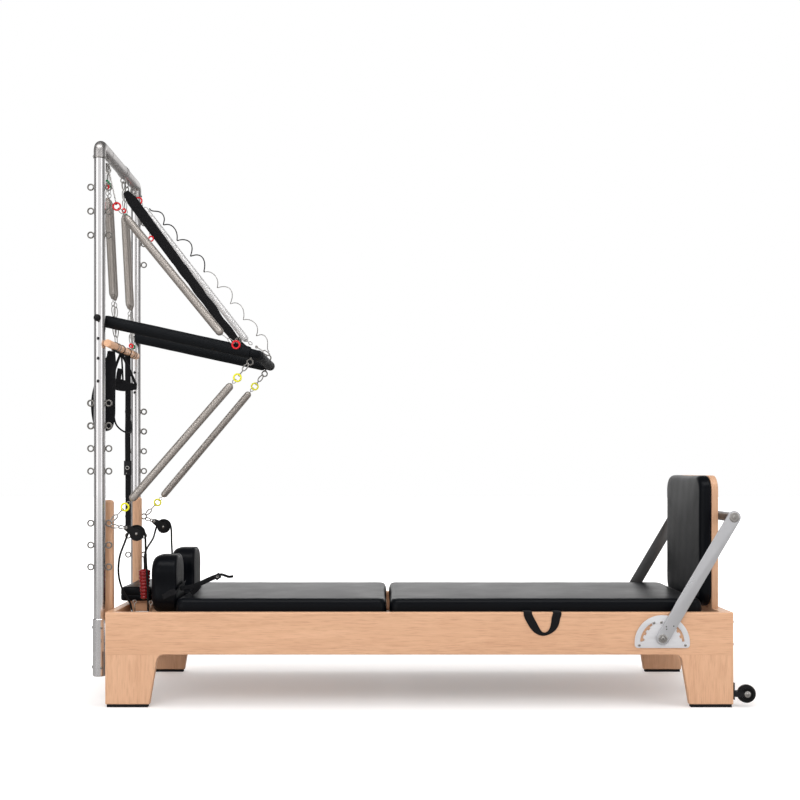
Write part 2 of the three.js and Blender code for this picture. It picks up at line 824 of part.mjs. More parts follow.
// Jumpboard: a padded board standing on the foot board by two pegs
const jumpboard = new THREE.Group();
part.add(jumpboard);
const standZ = railTop + seatGap;
const backShape = new THREE.Shape();
const halfBoard = jumpboardWidth / 2;
backShape.moveTo(-halfBoard, standZ);
backShape.lineTo(halfBoard, standZ);
backShape.lineTo(halfBoard, jumpboardTop - jumpboardCorner);
const cornerZ = jumpboardTop - jumpboardCorner;
backShape.absarc(halfBoard - jumpboardCorner, cornerZ, jumpboardCorner, 0, Math.PI / 2);
backShape.lineTo(jumpboardCorner - halfBoard, jumpboardTop);
const leftCentre = jumpboardCorner - halfBoard;
backShape.absarc(leftCentre, cornerZ, jumpboardCorner, Math.PI / 2, Math.PI);
const back = boardXZ(backShape, -jumpboardWood / 2, jumpboardWood / 2, woodEase);
back.rotateZ(Math.PI / 2).translate(pegX, 0, 0);
const pegs = [-1, 1].map((sign) => {
  const y = (sign * pegSpacing) / 2;
  return rod(vec(pegX, y, standZ + 10), vec(pegX, y, railTop - pegLength), pegRadius);
});
place(jumpboard, "jumpboard", join([back, ...pegs]), maple);
const padHeight = jumpboardTop - standZ - padGap;
const boardPadSize = { length: padHeight, width: jumpboardWidth, corner: jumpboardCorner };
const boardPadSoft = { low: 0, high: jumpboardPad - boardPadCrown, crown: boardPadCrown, drawIn: 2 };
const boardPad = pad({ ...boardPadSize, ...boardPadSoft, round: boardPadRound });
boardPad.rotateY(-Math.PI / 2);
boardPad.translate(jumpboardFrontX - seatGap, 0, jumpboardTop - padHeight / 2);
place(jumpboard, "jumpboard_pad", facingOut(boardPad), leather);

// Gear plates: a D with two arc slots for the footbar's latch
function plateShape() {
  const shape = new THREE.Shape();
  const low = plateCentreZ - plateFoot;
  const c = Math.min(plateCorner, plateFoot);
  shape.moveTo(plateX - plateRadius + c, low);
  shape.lineTo(plateX + plateRadius - c, low);
  shape.absarc(plateX + plateRadius - c, low + c, c, -Math.PI / 2, 0);
  shape.lineTo(plateX + plateRadius, plateCentreZ);
  shape.absarc(plateX, plateCentreZ, plateRadius, 0, Math.PI);
  shape.lineTo(plateX - plateRadius, low + c);
  shape.absarc(plateX - plateRadius + c, low + c, c, Math.PI, 1.5 * Math.PI);
  for (const [from, to] of slotArcs) {
    const slot = new THREE.Path();
    const start = (from * Math.PI) / 180;
    const stop = (to * Math.PI) / 180;
    slot.absarc(plateX, plateCentreZ, slotRadius + slotWidth / 2, start, stop);
    slot.absarc(plateX, plateCentreZ, slotRadius - slotWidth / 2, stop, start, true);
    slot.closePath();
    shape.holes.push(slot);
  }
  const hole = new THREE.Path();
  hole.absarc(plateX, pivotZ, pivotHole, 0, 2 * Math.PI);
  shape.holes.push(hole);
  return shape;
}
const plateInner = halfWidth + seatGap;
const plateOuter = plateInner + plateThickness;
for (const [side, sign] of sides) {
  const y = [sign * plateInner, sign * plateOuter].sort((a, b) => a - b);
  place(bed, `gear_plate_${side}`, boardXZ(plateShape(), y[0], y[1], 0, 5), aluminium);
}

// Footbar: two flat arms and a crossbar, leaning back against the jumpboard
const crossX = jumpboardBackX + jumpboardClearance + footbarTubeRadius;
const lean = Math.acos((crossX - plateX) / footbarLength);
const crossZ = pivotZ + footbarLength * Math.sin(lean);
const armInner = plateOuter + armGap;
const armOuter = armInner + armThickness;
const footbarPieces = [];
for (const [, sign] of sides) {
  const armShape = new THREE.Shape();
  armShape.absarc(0, 0, armWidth / 2, Math.PI / 2, 1.5 * Math.PI);
  armShape.absarc(footbarLength, 0, armWidth / 2, -Math.PI / 2, Math.PI / 2);
  const y = [sign * armInner, sign * armOuter].sort((a, b) => a - b);
  const arm = boardXZ(armShape, y[0], y[1]);
  arm.rotateY(-lean).translate(plateX, 0, pivotZ);
  const pivotAt = (out) => vec(plateX, sign * out, pivotZ);
  const pinEnd = pivotAt(insideWidth + boardThickness / 2);
  footbarPieces.push(arm, rod(pivotAt(armOuter - 1), pinEnd, pivotRadius));
  footbarPieces.push(rod(pivotAt(armOuter - 1), pivotAt(armOuter + pivotHead), pivotHeadRadius));
}
const crossEnds = [vec(crossX, 1 - armOuter, crossZ), vec(crossX, armOuter - 1, crossZ)];
footbarPieces.push(rod(...crossEnds, footbarTubeRadius, 16));
place(part, "footbar", join(footbarPieces), aluminium);
console.log(`footbar pivot: x ${plateX}, z ${pivotZ}; crossbar: x ${crossX}, z ${crossZ.toFixed(1)}`);

// Transport wheels in brackets on the end faces of the foot-end legs
for (const [side, sign] of sides) {
  const y = sign * (halfWidth - boardThickness / 2);
  const plateX0 = halfLength + seatGap;
  const axleX = halfLength + rollerX;
  const cheekIn = rollerWidth / 2 + cheekGap;
  const cheekOut = cheekIn + cheekThickness;
  const low = [plateX0, y - cheekOut, rollerZ - bracketDrop];
  const bracket = [block(low, [plateX0 + bracketPlate, y + cheekOut, low[2] + bracketHeight])];
  for (const way of [-1, 1]) {
    const cheekY = [y + way * cheekIn, y + way * cheekOut].sort((a, b) => a - b);
    const cheekLow = [plateX0 + 1, cheekY[0], rollerZ - cheekReach];
    bracket.push(block(cheekLow, [axleX + cheekReach, cheekY[1], rollerZ + cheekReach]));
  }
  const reach = cheekIn + 1;
  bracket.push(rod(vec(axleX, y - reach, rollerZ), vec(axleX, y + reach, rollerZ), rollerAxle));
  place(bed, `wheel_bracket_${side}`, join(bracket), blackSteel);
  const bore = rollerAxle + runGap;
  const h = rollerWidth / 2;
  const face = rollerRadius - rollerTread;
  const outline = [[bore, -h], [face, -h], [rollerRadius, rollerTread - h]];
  outline.push([rollerRadius, h - rollerTread], [face, h], [bore, h], [bore, -h]);
  const wheel = facingOut(turnedAlongY(outline, 16));
  wheel.translate(axleX, y, rollerZ);
  place(bed, `transport_wheel_${side}`, wheel, blackRubber);
}

// Tower sockets: sleeves closed at the foot, each with a flange against the head board
const tower = new THREE.Group();
part.add(tower);
const socketRadius = towerTubeRadius + runGap + socketWall;
const socketFloor = socketFoot + 6;
for (const [side, sign] of sides) {
  const y = sign * towerY;
  const sleeve = pipe(socketRadius, towerTubeRadius + runGap, socketFoot, socketTop);
  sleeve.translate(towerX, y, 0);
  const floor = rod(vec(towerX, y, socketFoot), vec(towerX, y, socketFloor), socketRadius - 1);
  const flangeX = towerX + towerTubeRadius + runGap + 1;
  const flangeLow = [flangeX, y - flangeWidth / 2, railBottom + flangeInset];
  const flangeHigh = [-halfLength - seatGap, y + flangeWidth / 2, socketTop - flangeInset];
  const flange = block(flangeLow, flangeHigh);
  place(tower, `tower_socket_${side}`, join([facingOut(sleeve), floor, flange]), aluminium);
}

// Uprights with their screw eyes and pin holes
for (const [side, sign] of sides) {
  const y = sign * towerY;
  const wall = pipe(towerTubeRadius, towerTubeRadius - towerWall, socketFloor + seatGap, seamZ);
  wall.translate(towerX, y, 0);
  const pieces = [facingOut(wall)];
  for (const level of eyeLevels) {
    for (const way of [-1, 1]) {
      const centre = vec(towerX + way * eyeReach, y, level);
      pieces.push(...eye(centre, vec(towerX + way * (towerTubeRadius - 1.5), y, level)));
    }
  }
  const holes = [pivotLevel, ...pinLevels].map((level) => {
    const reach = towerTubeRadius + 5;
    return rod(vec(towerX, y - reach, level), vec(towerX, y + reach, level), pinHole, 8);
  });
  place(tower, `upright_${side}`, cut(join(pieces), holes), aluminium);
}

// Top bow: crossbar and both elbows in one pipe, a spigot in each upright, eyes underneath
const bowPoints = [vec(towerX, -towerY, seamZ + seatGap)];
for (const [, sign] of sides) {
  const centre = vec(towerX, sign * (towerY - elbowBend), crossbarZ - elbowBend);
  const corner = bend(centre, elbowBend, vec(0, sign, 0), vec(0, 0, 1), 4);
  bowPoints.push(...(sign < 0 ? corner : corner.reverse()));
}
bowPoints.push(vec(towerX, towerY, seamZ + seatGap));
const alongBow = (reach, radius) => {
  const foot = vec(towerX, -towerY, seamZ + seatGap - reach);
  const points = reach > 0 ? [foot, ...bowPoints, foot.clone().setY(towerY)] : bowPoints;
  return facingOut(tubeAlong(new BentPath(points), radius, 12, points.length - 1));
};
const spigotRadius = (towerTubeRadius - towerWall) * Math.cos(Math.PI / 16) - runGap;
const bowBore = alongBow(spigotLength + 1, spigotRadius - spigotWall);
const bow = cut(join([alongBow(0, towerTubeRadius), alongBow(spigotLength, spigotRadius)]), [bowBore]);
const bowPieces = [bow];
const crossEyeZ = crossbarZ - eyeReach;
for (const y of topEyes) {
  bowPieces.push(...eye(vec(towerX, y, crossEyeZ), vec(towerX, y, crossbarZ - towerTubeRadius + 2)));
}
place(tower, "top_bow", join(bowPieces), aluminium);

// Pivot pins with ball knobs, through the uprights into the bar's bosses
const bossInner = armSpacing / 2 - bossReach;
const bossOuter = towerY - towerTubeRadius - 1;
for (const [side, sign] of sides) {
  const knobY = sign * (towerY + towerTubeRadius + knobNeck);
  const pinTip = vec(towerX, sign * (bossInner + 2), pivotLevel);
  const pin = rod(vec(towerX, knobY, pivotLevel), pinTip, pinRadius, 8);
  const ball = new THREE.SphereGeometry(knobRadius, 10, 6).translate(towerX, knobY, pivotLevel);
  place(tower, `pivot_knob_${side}`, join([pin, ball]), blackSteel);
}

// Posts standing on the outside of the head board
for (const [side, sign] of sides) {
  const y = (sign * postSpacing) / 2;
  const postX = -halfLength - seatGap - postThickness;
  const shape = roundedRectangle(postX, -halfLength - seatGap, postFoot, postTop, postCorner);
  place(bed, `post_${side}`, boardXZ(shape, y - postWidth / 2, y + postWidth / 2, woodEase, 3), maple);
}

// Push-through bar: the U of tube with bosses and eyes, foam on its arms, a grip on its crossbar
const pushBar = new THREE.Group();
pushBar.position.set(towerX, 0, pivotLevel);
pushBar.rotation.y = slope;
part.add(pushBar);
const armY = armSpacing / 2;
const cornerX = armLength - barCorner;
const barPoints = [vec(0, -armY, 0)];
barPoints.push(...bend(vec(cornerX, barCorner - armY, 0), barCorner, vec(0, -1, 0), vec(1, 0, 0)));
barPoints.push(...bend(vec(cornerX, armY - barCorner, 0), barCorner, vec(0, 1, 0), vec(1, 0, 0)).reverse());
barPoints.push(vec(0, armY, 0));
const barTube = tubeAlong(new BentPath(barPoints), barTubeRadius, 10, barPoints.length - 1);
const barPieces = [facingOut(barTube)];
const topEyesAlong = topEyeInsets.map((inset) => armLength - inset);
const lowEyeAlong = armLength - lowEyeInset;
const sleeveEnd = cornerX - 2;
const foamSides = 12;
const foamBore = (barTubeRadius + seatGap) / Math.cos(Math.PI / foamSides);
const barEyeReach = sleeveRadius + eyeRadius + eyeWire + 1;
const stems = [];
const bossHoleRadius = (barTubeRadius + 1 + seatGap) / Math.cos(Math.PI / 12);
const stemHole = (eyeWire + 1 + runGap) / Math.cos(Math.PI / 6);
for (const [i, [, sign]] of sides.entries()) {
  const y = sign * armY;
  barPieces.push(rod(vec(0, sign * bossInner, 0), vec(0, sign * bossOuter, 0), barTubeRadius + 1));
  for (const [along, way] of [[topEyesAlong[i], 1], [lowEyeAlong, -1]]) {
    const foot = vec(along, y, way * (barTubeRadius - 2));
    barPieces.push(...eye(vec(along, y, way * barEyeReach), foot));
    stems.push(rod(vec(along, y, 0), vec(along, y, way * (sleeveRadius + 3)), stemHole, 6));
  }
}
const barHole = rod(vec(0, -towerY, 0), vec(0, towerY, 0), pinHole, 8);
place(pushBar, "push_bar_frame", cut(join(barPieces), [barHole]), aluminium);
for (const [side, sign] of sides) {
  const sleeve = pipe(sleeveRadius, foamBore, sleeveStart, sleeveEnd, foamSides);
  sleeve.rotateY(Math.PI / 2).translate(0, sign * armY, 0);
  const bossHole = rod(vec(0, 0, 0), vec(0, sign * towerY, 0), bossHoleRadius);
  place(pushBar, `arm_sleeve_${side}`, cut(facingOut(sleeve), [...stems, bossHole]), blackRubber);
}
const gripReach = armY - barCorner - 2;
const grip = pipe(gripRadius, foamBore, -gripReach, gripReach, foamSides);
grip.rotateX(Math.PI / 2).translate(armLength, 0, 0);
place(pushBar, "push_bar_grip", facingOut(grip), blackRubber);

// Roll-down bar: a dowel that leans on the near upright, hung on two pairs of springs
const rollDown = new THREE.Group();
part.add(rollDown);
const dowelX = towerX + towerTubeRadius + 0.5 + dowelRadius;
const dowelTop = dowelLevel + dowelRadius;
const dowelEnds = [dowelShift - dowelLength / 2, dowelShift + dowelLength / 2];
const dowelTips = dowelEnds.map((y) => vec(dowelX, y, dowelLevel));
place(rollDown, "roll_down_bar", rod(...dowelTips, dowelRadius, 16), maple);
const hangTop = crossEyeZ - eyeRadius + 4;
const hangX = (z) => towerX + ((dowelX - towerX) * (hangTop - z)) / (hangTop - dowelTop);
hangEyes.forEach((y, pair) => {
  for (const [side, sign] of [["a", -1], ["b", 1]]) {
    const name = `hanging_spring_${pair === 0 ? "near" : "far"}_${side}`;
    const bodyTop = hangTop - hangDrop;
    const axisY = y + sign * hangSpread;
    const beside = y + sign * (eyeWire + wireRadius + seatGap);
    const bodyStart = vec(hangX(bodyTop), axisY, bodyTop);
    const bodyEnd = vec(hangX(bodyTop - hangBody), axisY, bodyTop - hangBody);
    const before = [vec(hangX(hangTop), beside, hangTop)];
    const after = [vec(dowelX, axisY, dowelTop + seatGap + 0.2)];
    place(rollDown, name, springWire(name, before, bodyStart, bodyEnd, after, hangCurls), springSteel);
  }
});

// Straps left hanging on the dowel: a wide loop, a stirrup and a long strap, tied by a wrap under it
const strapHang = dowelLevel - dowelRadius - seatGap;
const loopX = towerX + towerTubeRadius;
const loopMiddle = loopLow + loopHeight / 2;
const loopShape = new THREE.Shape();
loopShape.absellipse(loopX, loopMiddle, loopWidth / 2, loopHeight / 2, 0, 2 * Math.PI);
const loopHole = new THREE.Path();
const holeSize = [loopWidth / 2 - loopStrapWidth, loopHeight / 2 - loopStrapWidth];
loopHole.absellipse(loopX, loopMiddle, ...holeSize, 0, 2 * Math.PI);
loopShape.holes.push(loopHole);
const hangingStrap = (x, y, width, low) => {
  return block([x - width / 2, y - webbing, low], [x + width / 2, y + webbing, strapHang]);
};
const stirrupLow = strapHang - stirrupDrop;
const stirrupOuter = [[-12, stirrupLow], [stirrupWidth - 12, stirrupLow], [8, strapHang], [-8, strapHang]];
const holeLow = stirrupLow + stirrupBand;
const stirrupInner = [[2, holeLow], [4, strapHang - 34], [stirrupWidth - 46, holeLow]];
const onDowel = ([x, z]) => new THREE.Vector2(dowelX + x, z);
const stirrupShape = new THREE.Shape();
stirrupShape.setFromPoints(stirrupOuter.map(onDowel));
stirrupShape.holes.push(new THREE.Path().setFromPoints(stirrupInner.map(onDowel)));
const wrapLow = [dowelX - stirrupBand / 2, loopStrapY - webbing / 2, strapHang - 1.5 * webbing];
const strapSet = [
  boardXZ(loopShape, loopStrapY - webbing, loopStrapY + webbing, 0, 9),
  hangingStrap(dowelX, loopStrapY, loopStrapWidth, loopLow + loopHeight - loopStrapWidth),
  hangingStrap(dowelX, longStrapY, longStrapWidth, longStrapLow),
  boardXZ(stirrupShape, stirrupY - webbing, stirrupY + webbing),
  block(wrapLow, [dowelX + stirrupBand / 2, longStrapY + webbing / 2, strapHang - webbing / 3]),
];
place(rollDown, "hanging_straps", join(strapSet), blackWebbing);

// Slanted springs: one pair down from the crossbar, one pair up from the lower eyes
const endOut = eyeRadius + eyeWire + 0.7;
const eighth = endOut * Math.SQRT1_2;
const lowEyes = [topEyes[0], topEyes[2]];
sides.forEach(([side, sign], i) => {
  const barY = sign * armY;
  const hook = vec(towerX, lowEyes[i], crossEyeZ - endOut);
  const hookEnd = vec(towerX + slantHookRuns[i], lowEyes[i], crossEyeZ - slantHookFalls[i]);
  const barEnd = onBar(topEyesAlong[i] - eighth, barEyeReach + eighth, barY);
  const fall = barEnd.clone().sub(hookEnd).normalize();
  const upperStart = hookEnd.clone().addScaledVector(fall, slantLead);
  const upperEnd = barEnd.clone().addScaledVector(fall, -slantLead);
  const upper = `upper_spring_${side}`;
  const upperWire = springWire(upper, [hook, hookEnd], upperStart, upperEnd, [barEnd], slantCurls);
  place(part, upper, upperWire, springSteel);

  const lowBarEnd = onBar(lowEyeAlong - eighth, -barEyeReach - eighth, barY);
  const lowHook = lowBarEnd.clone().add(vec(-lowHookRun, sign * 3, -lowHookFall));
  const postEnd = vec(towerX + eyeReach + eighth, sign * towerY, lowEyeLevel + eighth);
  const postHook = postEnd.clone().add(vec(footHookRun - eighth, -sign * 3, footHookRise - eighth));
  const climb = postHook.clone().sub(lowHook).normalize();
  const lowStart = lowHook.clone().addScaledVector(climb, lowLead + 2 * coilRadius);
  const lowEnd = postHook.clone().addScaledVector(climb, -lowLead);
  const lower = `lower_spring_${side}`;
  const footHook = [postHook, postEnd];
  const lowWire = springWire(lower, [lowBarEnd, lowHook], lowStart, lowEnd, footHook, slantCurls);
  place(part, lower, lowWire, springSteel);
});

// Safety strap: a padded band from the crossbar's middle eye to the bar's grip
const gripAxis = onBar(armLength, 0, 0);
const bandTop = vec(towerX + safetyTop.out, safetyTop.y, crossEyeZ - safetyTop.drop);
const bandUnit = bandTop.clone().sub(vec(gripAxis.x, bandTop.y, gripAxis.z)).normalize();
const bandFoot = vec(gripAxis.x, bandTop.y, gripAxis.z).addScaledVector(bandUnit, gripRadius + 0.6);
const bandAcross = vec(-bandUnit.z, 0, bandUnit.x);
const band = new THREE.Shape();
const bandEdge = (way) => Array.from({ length: safetySteps + 1 }, (unused, i) => {
  const part = i / safetySteps;
  const half = THREE.MathUtils.lerp(...safetyWidths, part) / 2;
  const at = bandTop.clone().lerp(bandFoot, part);
  at.addScaledVector(bandAcross, 4 * safetySag * part * (1 - part) + way * half);
  return new THREE.Vector2(at.x, at.z);
});
band.setFromPoints([...bandEdge(1), ...bandEdge(-1).reverse()]);
const bandY = [bandTop.y - safetyThickness / 2, bandTop.y + safetyThickness / 2];
const bandHook = vec(towerX + endOut + linkRadius, topEyes[1], crossEyeZ);
const bandLink = rod(bandHook, bandTop.clone().addScaledVector(bandUnit, -4), linkRadius, 6);
place(part, "safety_strap", join([facingOut(boardXZ(band, ...bandY)), bandLink]), blackWebbing);

// Pulley blocks hung from the lower eyes, each with a grooved sheave
const pulleyAt = towerX + pulleyX;
const hangerX = pulleyAt - hangerRun;
const hangerZ = pulleyZ + hangerRise;
for (const [side, sign] of sides) {
  const y = (sign * armSpacing) / 2;
  const cheekIn = sheaveWidth / 2 + 1;
  const angle = Math.atan2(hangerZ - pulleyZ, hangerX - pulleyAt);
  const pieces = [];
  for (const way of [-1, 1]) {
    const cheek = new THREE.Shape();
    cheek.absarc(pulleyAt, pulleyZ, cheekRadius, angle + Math.PI / 2, angle + 1.5 * Math.PI);
    cheek.absarc(hangerX, hangerZ, hangerRadius, angle - Math.PI / 2, angle + Math.PI / 2);
    const cheekY = [y + way * cheekIn, y + way * (cheekIn + cheekPlate)].sort((a, b) => a - b);
    pieces.push(boardXZ(cheek, ...cheekY));
  }
  const across = (x, z, radius) => rod(vec(x, y - cheekIn - 1, z), vec(x, y + cheekIn + 1, z), radius, 10);
  pieces.push(across(pulleyAt, pulleyZ, sheaveAxle), across(hangerX, hangerZ, hangerPin));
  const clearOf = (endOut + hangerClearance) * Math.SQRT1_2;
  const eyeEdge = vec(towerX + eyeReach + clearOf, sign * towerY, lowEyeLevel - clearOf);
  pieces.push(rod(eyeEdge, vec(hangerX, y + sign * cheekIn, hangerZ), hangerLink, 6));
  place(tower, `pulley_block_${side}`, join(pieces), blackSteel);
  const bore = sheaveAxle + runGap;
  const h = sheaveWidth / 2;
  const groove = [[bore, -h], [sheaveRadius, -h], [sheaveRadius - sheaveGroove, 0]];
  groove.push([sheaveRadius, h], [bore, h], [bore, -h]);
  const sheave = facingOut(turnedAlongY(groove, 16));
  place(tower, `pulley_wheel_${side}`, sheave.translate(pulleyAt, y, pulleyZ), blackRubber);
}

// Ropes: each from the carriage, over its sheave and down; the far one holds the hand grip
function overSheave(y, from, to) {
  return [0, 1, 2, 3, 4].map((i) => {
    const angle = from + ((to - from) * i) / 4;
    const x = pulleyAt + ropeOverSheave * Math.cos(angle);
    return vec(x, y, pulleyZ + ropeOverSheave * Math.sin(angle));
  });
}
const ropeFoot = baseTop + seatGap;
const gripTop = gripLow + gripLength;
const gripX = pulleyAt + gripShift;
const sheaveY = armSpacing / 2;
const nearRope = [
  vec(pulleyAt - 29, -215, ropeFoot),
  vec(pulleyAt - 29, -215, ropeFoot + 14),
  vec(pulleyAt - 36, -213, ropeFoot + 40),
  vec(pulleyAt - 66, -208, pulleyZ - 226),
  vec(pulleyAt - 83, -205, pulleyZ - 164),
  vec(pulleyAt - 78, -210, pulleyZ - 96),
  vec(pulleyAt - 54, -228, pulleyZ - 38),
  ...overSheave(-sheaveY, 0.9 * Math.PI, 0),
  vec(pulleyAt + 35, -sheaveY, pulleyZ - 76),
  vec(pulleyAt + 41, -sheaveY, pulleyZ - 186),
  vec(pulleyAt + 44, -sheaveY, ropeFoot + 60),
  vec(pulleyAt + 44, -sheaveY, ropeFoot + 25),
  vec(pulleyAt + 44, -sheaveY, ropeFoot),
];
const farRope = [
  vec(gripX, gripY, gripTop + seatGap),
  vec(gripX, gripY, gripTop + 18),
  vec(pulleyAt + 19, -203, pulleyZ - 100),
  vec(pulleyAt + 10, -130, pulleyZ - 72),
  vec(pulleyAt - 2, 0, pulleyZ - 52),
  vec(pulleyAt - 17, 120, pulleyZ - 40),
  vec(pulleyAt - 30, 205, pulleyZ - 26),
  ...overSheave(sheaveY, Math.PI, 0),
  vec(pulleyAt + 35, sheaveY, pulleyZ - 76),
  vec(pulleyAt + 41, sheaveY, pulleyZ - 186),
  vec(pulleyAt + 44, sheaveY, ropeFoot + 60),
  vec(pulleyAt + 44, sheaveY, ropeFoot + 25),
  vec(pulleyAt + 44, sheaveY, ropeFoot),
];
for (const [name, route, steps] of [["rope_near", nearRope, 34], ["rope_far", farRope, 40]]) {
  const curve = new THREE.CatmullRomCurve3(route);
  console.log(`${name}: length ${curve.getLength().toFixed(0)} mm`);
  place(part, name, facingOut(tubeAlong(curve, ropeRadius, 8, steps)), blackWebbing);
}
const gripOutline = [[0, gripLow], [gripTailRadius, gripLow], [gripHeadRadius - 2, gripTop - 14]];
gripOutline.push([gripHeadRadius, gripTop - 6], [gripHeadRadius - 4, gripTop], [0, gripTop]);
const handGrip = turnedAlongY(gripOutline, 14).rotateX(Math.PI / 2);
place(part, "hand_grip", facingOut(handGrip.translate(gripX, gripY, 0)), redGrip);

// The whole is centred over the floor point midway between its two farthest reaches along X
const headReach = towerX - eyeReach - eyeRadius - eyeWire;
const footReach = halfLength + rollerX + rollerRadius;
part.position.x = -(headReach + footReach) / 2;
console.log(`reach along x: ${headReach} to ${footReach}, moved by ${part.position.x}`);

export default part;
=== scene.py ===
import math
import bmesh
import bpy
import numpy as np
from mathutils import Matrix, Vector


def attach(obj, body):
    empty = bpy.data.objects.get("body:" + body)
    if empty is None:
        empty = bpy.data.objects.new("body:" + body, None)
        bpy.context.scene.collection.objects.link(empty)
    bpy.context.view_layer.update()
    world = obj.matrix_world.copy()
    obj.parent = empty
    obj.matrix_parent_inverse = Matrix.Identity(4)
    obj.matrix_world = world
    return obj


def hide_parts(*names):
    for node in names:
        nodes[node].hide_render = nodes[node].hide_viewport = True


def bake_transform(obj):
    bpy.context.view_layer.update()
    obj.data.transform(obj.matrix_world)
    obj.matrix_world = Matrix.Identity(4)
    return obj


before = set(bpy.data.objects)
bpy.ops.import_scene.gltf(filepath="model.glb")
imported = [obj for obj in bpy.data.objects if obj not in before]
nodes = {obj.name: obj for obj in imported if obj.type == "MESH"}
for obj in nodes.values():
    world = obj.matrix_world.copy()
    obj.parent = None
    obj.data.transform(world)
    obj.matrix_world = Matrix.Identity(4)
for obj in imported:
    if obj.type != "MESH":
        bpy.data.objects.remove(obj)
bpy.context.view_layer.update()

print("frame loaded:", len(nodes), "nodes")


sides = (("near", -1), ("far", 1))

# Camera: level and square to the bed; its axis meets the picture left of and below the middle
photo = {"size": 800, "focalPixels": 1048, "axisX": 385, "axisY": 470}
cameraData = bpy.data.cameras.new("studioCamera")
camera = bpy.data.objects.new("studioCamera", cameraData)
bpy.context.scene.collection.objects.link(camera)
cameraData.sensor_width = 36
cameraData.lens = 36 * photo["focalPixels"] / photo["size"]
cameraData.shift_x = (photo["size"] / 2 - photo["axisX"]) / photo["size"]
cameraData.shift_y = (photo["axisY"] - photo["size"] / 2) / photo["size"]
camera.location = (-0.131, -4.3675, 0.9065)
camera.rotation_euler = (math.radians(90), 0, 0)
bpy.context.scene.camera = camera


# Mesh helpers: every surface is a grid of points worked out as a whole array
def unit(v):
    v = np.asarray(v, float)
    return v / np.linalg.norm(v, axis=-1, keepdims=True)


def linkMesh(name, points, quads, smooth=True, uv=None, triangles=None):
    # points (n, 3) and quads (m, 4) go straight into the mesh, flat triangles (k, 3) after them
    fans = np.zeros((0, 3), np.int32) if triangles is None else triangles
    mesh = bpy.data.meshes.new(name)
    points = np.ascontiguousarray(points, np.float32)
    quads = np.asarray(quads)
    corners = np.concatenate([quads.ravel(), fans.ravel()]).astype(np.int32)
    starts = np.concatenate([np.arange(len(quads)) * 4, quads.size + np.arange(len(fans)) * 3])
    mesh.vertices.add(len(points))
    mesh.vertices.foreach_set("co", points.ravel())
    mesh.loops.add(len(corners))
    mesh.loops.foreach_set("vertex_index", corners)
    mesh.polygons.add(len(starts))
    mesh.polygons.foreach_set("loop_start", starts.astype(np.int32))
    mesh.polygons.foreach_set("use_smooth", np.arange(len(starts)) < len(quads) * smooth)
    mesh.update(calc_edges=True)
    if uv is not None:
        pairs = np.concatenate([uv.reshape(-1, 2), np.zeros((fans.size, 2))]).astype(np.float32)
        mesh.uv_layers.new(name="UVMap").data.foreach_set("uv", pairs.ravel())
    mesh.validate()
    return placed(name, mesh)


def placed(name, data):
    piece = bpy.data.objects.new(name, data)
    bpy.context.scene.collection.objects.link(piece)
    return piece


def gridQuads(rows, columns, wrapRows=False):
    # corner numbers of every cell of a grid whose columns go all the way round, and its rows where asked
    i = np.arange(rows if wrapRows else rows - 1)[:, None]
    j = np.arange(columns)[None, :]
    i2 = (i + 1) % rows
    j2 = (j + 1) % columns
    cells = [i * columns + j, i * columns + j2, i2 * columns + j2, i2 * columns + j]
    return np.stack(np.broadcast_arrays(*cells), -1).reshape(-1, 4)


def resample(path, count):
    # the same line with its points evenly spaced along it
    path = np.asarray(path, float)
    run = reach(path)
    at = np.linspace(0, run[-1], count)
    return np.stack([np.interp(at, run, path[:, k]) for k in range(3)], 1)


def smoothLine(points, count):
    # centripetal Catmull-Rom line through the points, as the CAD's ropes follow
    p = np.asarray(points, float)
    p = np.vstack([2 * p[0] - p[1], p, 2 * p[-1] - p[-2]])
    fine = []
    for a, b, c, d in zip(p[:-3], p[1:-2], p[2:-1], p[3:]):
        t0 = np.sqrt(np.linalg.norm(b - a))
        t1 = np.sqrt(np.linalg.norm(c - b))
        t2 = np.sqrt(np.linalg.norm(d - c))
        m1 = t1 * ((b - a) / t0 - (c - a) / (t0 + t1) + (c - b) / t1)
        m2 = t1 * ((c - b) / t1 - (d - b) / (t1 + t2) + (d - c) / t2)
        s = np.linspace(0, 1, 24, endpoint=False)[:, None]
        curve = (2 * s**3 - 3 * s**2 + 1) * b + (s**3 - 2 * s**2 + s) * m1
        fine.append(curve + (-2 * s**3 + 3 * s**2) * c + (s**3 - s**2) * m2)
    fine.append(p[-2:-1])
    return resample(np.vstack(fine), count)


def reach(points):
    # distance run along a line at each of its points
    return np.concatenate([[0], np.cumsum(np.linalg.norm(np.diff(points, axis=0), axis=1))])


def spokes(side, up, count):
    # unit circles in the planes of two directions given along a line
    angle = np.linspace(0, 2 * np.pi, count, endpoint=False)[None, :, None]
    return np.cos(angle) * side[:, None] + np.sin(angle) * up[:, None]


def closedSkin(name, rings, closed=False):
    # a skin over rings of points (rows, columns, 3), each end closed by a fan unless the rings close up
    rows, columns = rings.shape[:2]
    quads = gridQuads(rows, columns, closed)
    u = reach(rings[:, 0])
    u = np.append(u, 2 * u[-1] - u[-2])
    middle = rings[rows // 2]
    v = reach(np.concatenate([middle, middle[:1]]))
    i, j = np.divmod(np.arange(len(quads)), columns)
    uv = np.stack([np.stack([u[i + di], v[j + dj]], 1) for di, dj in ((0, 0), (0, 1), (1, 1), (1, 0))], 1)
    flat = rings.reshape(-1, 3)
    if closed:
        return linkMesh(name, flat, quads, True, uv)
    ends = np.stack([rings[0].mean(0), rings[-1].mean(0)])
    j = np.arange(columns)
    j2 = (j + 1) % columns
    last = (rows - 1) * columns
    low = np.stack([np.full(columns, len(flat)), j2, j], 1)
    high = np.stack([np.full(columns, len(flat) + 1), last + j, last + j2], 1)
    return linkMesh(name, np.vstack([flat, ends]), quads, True, uv, np.vstack([low, high]))


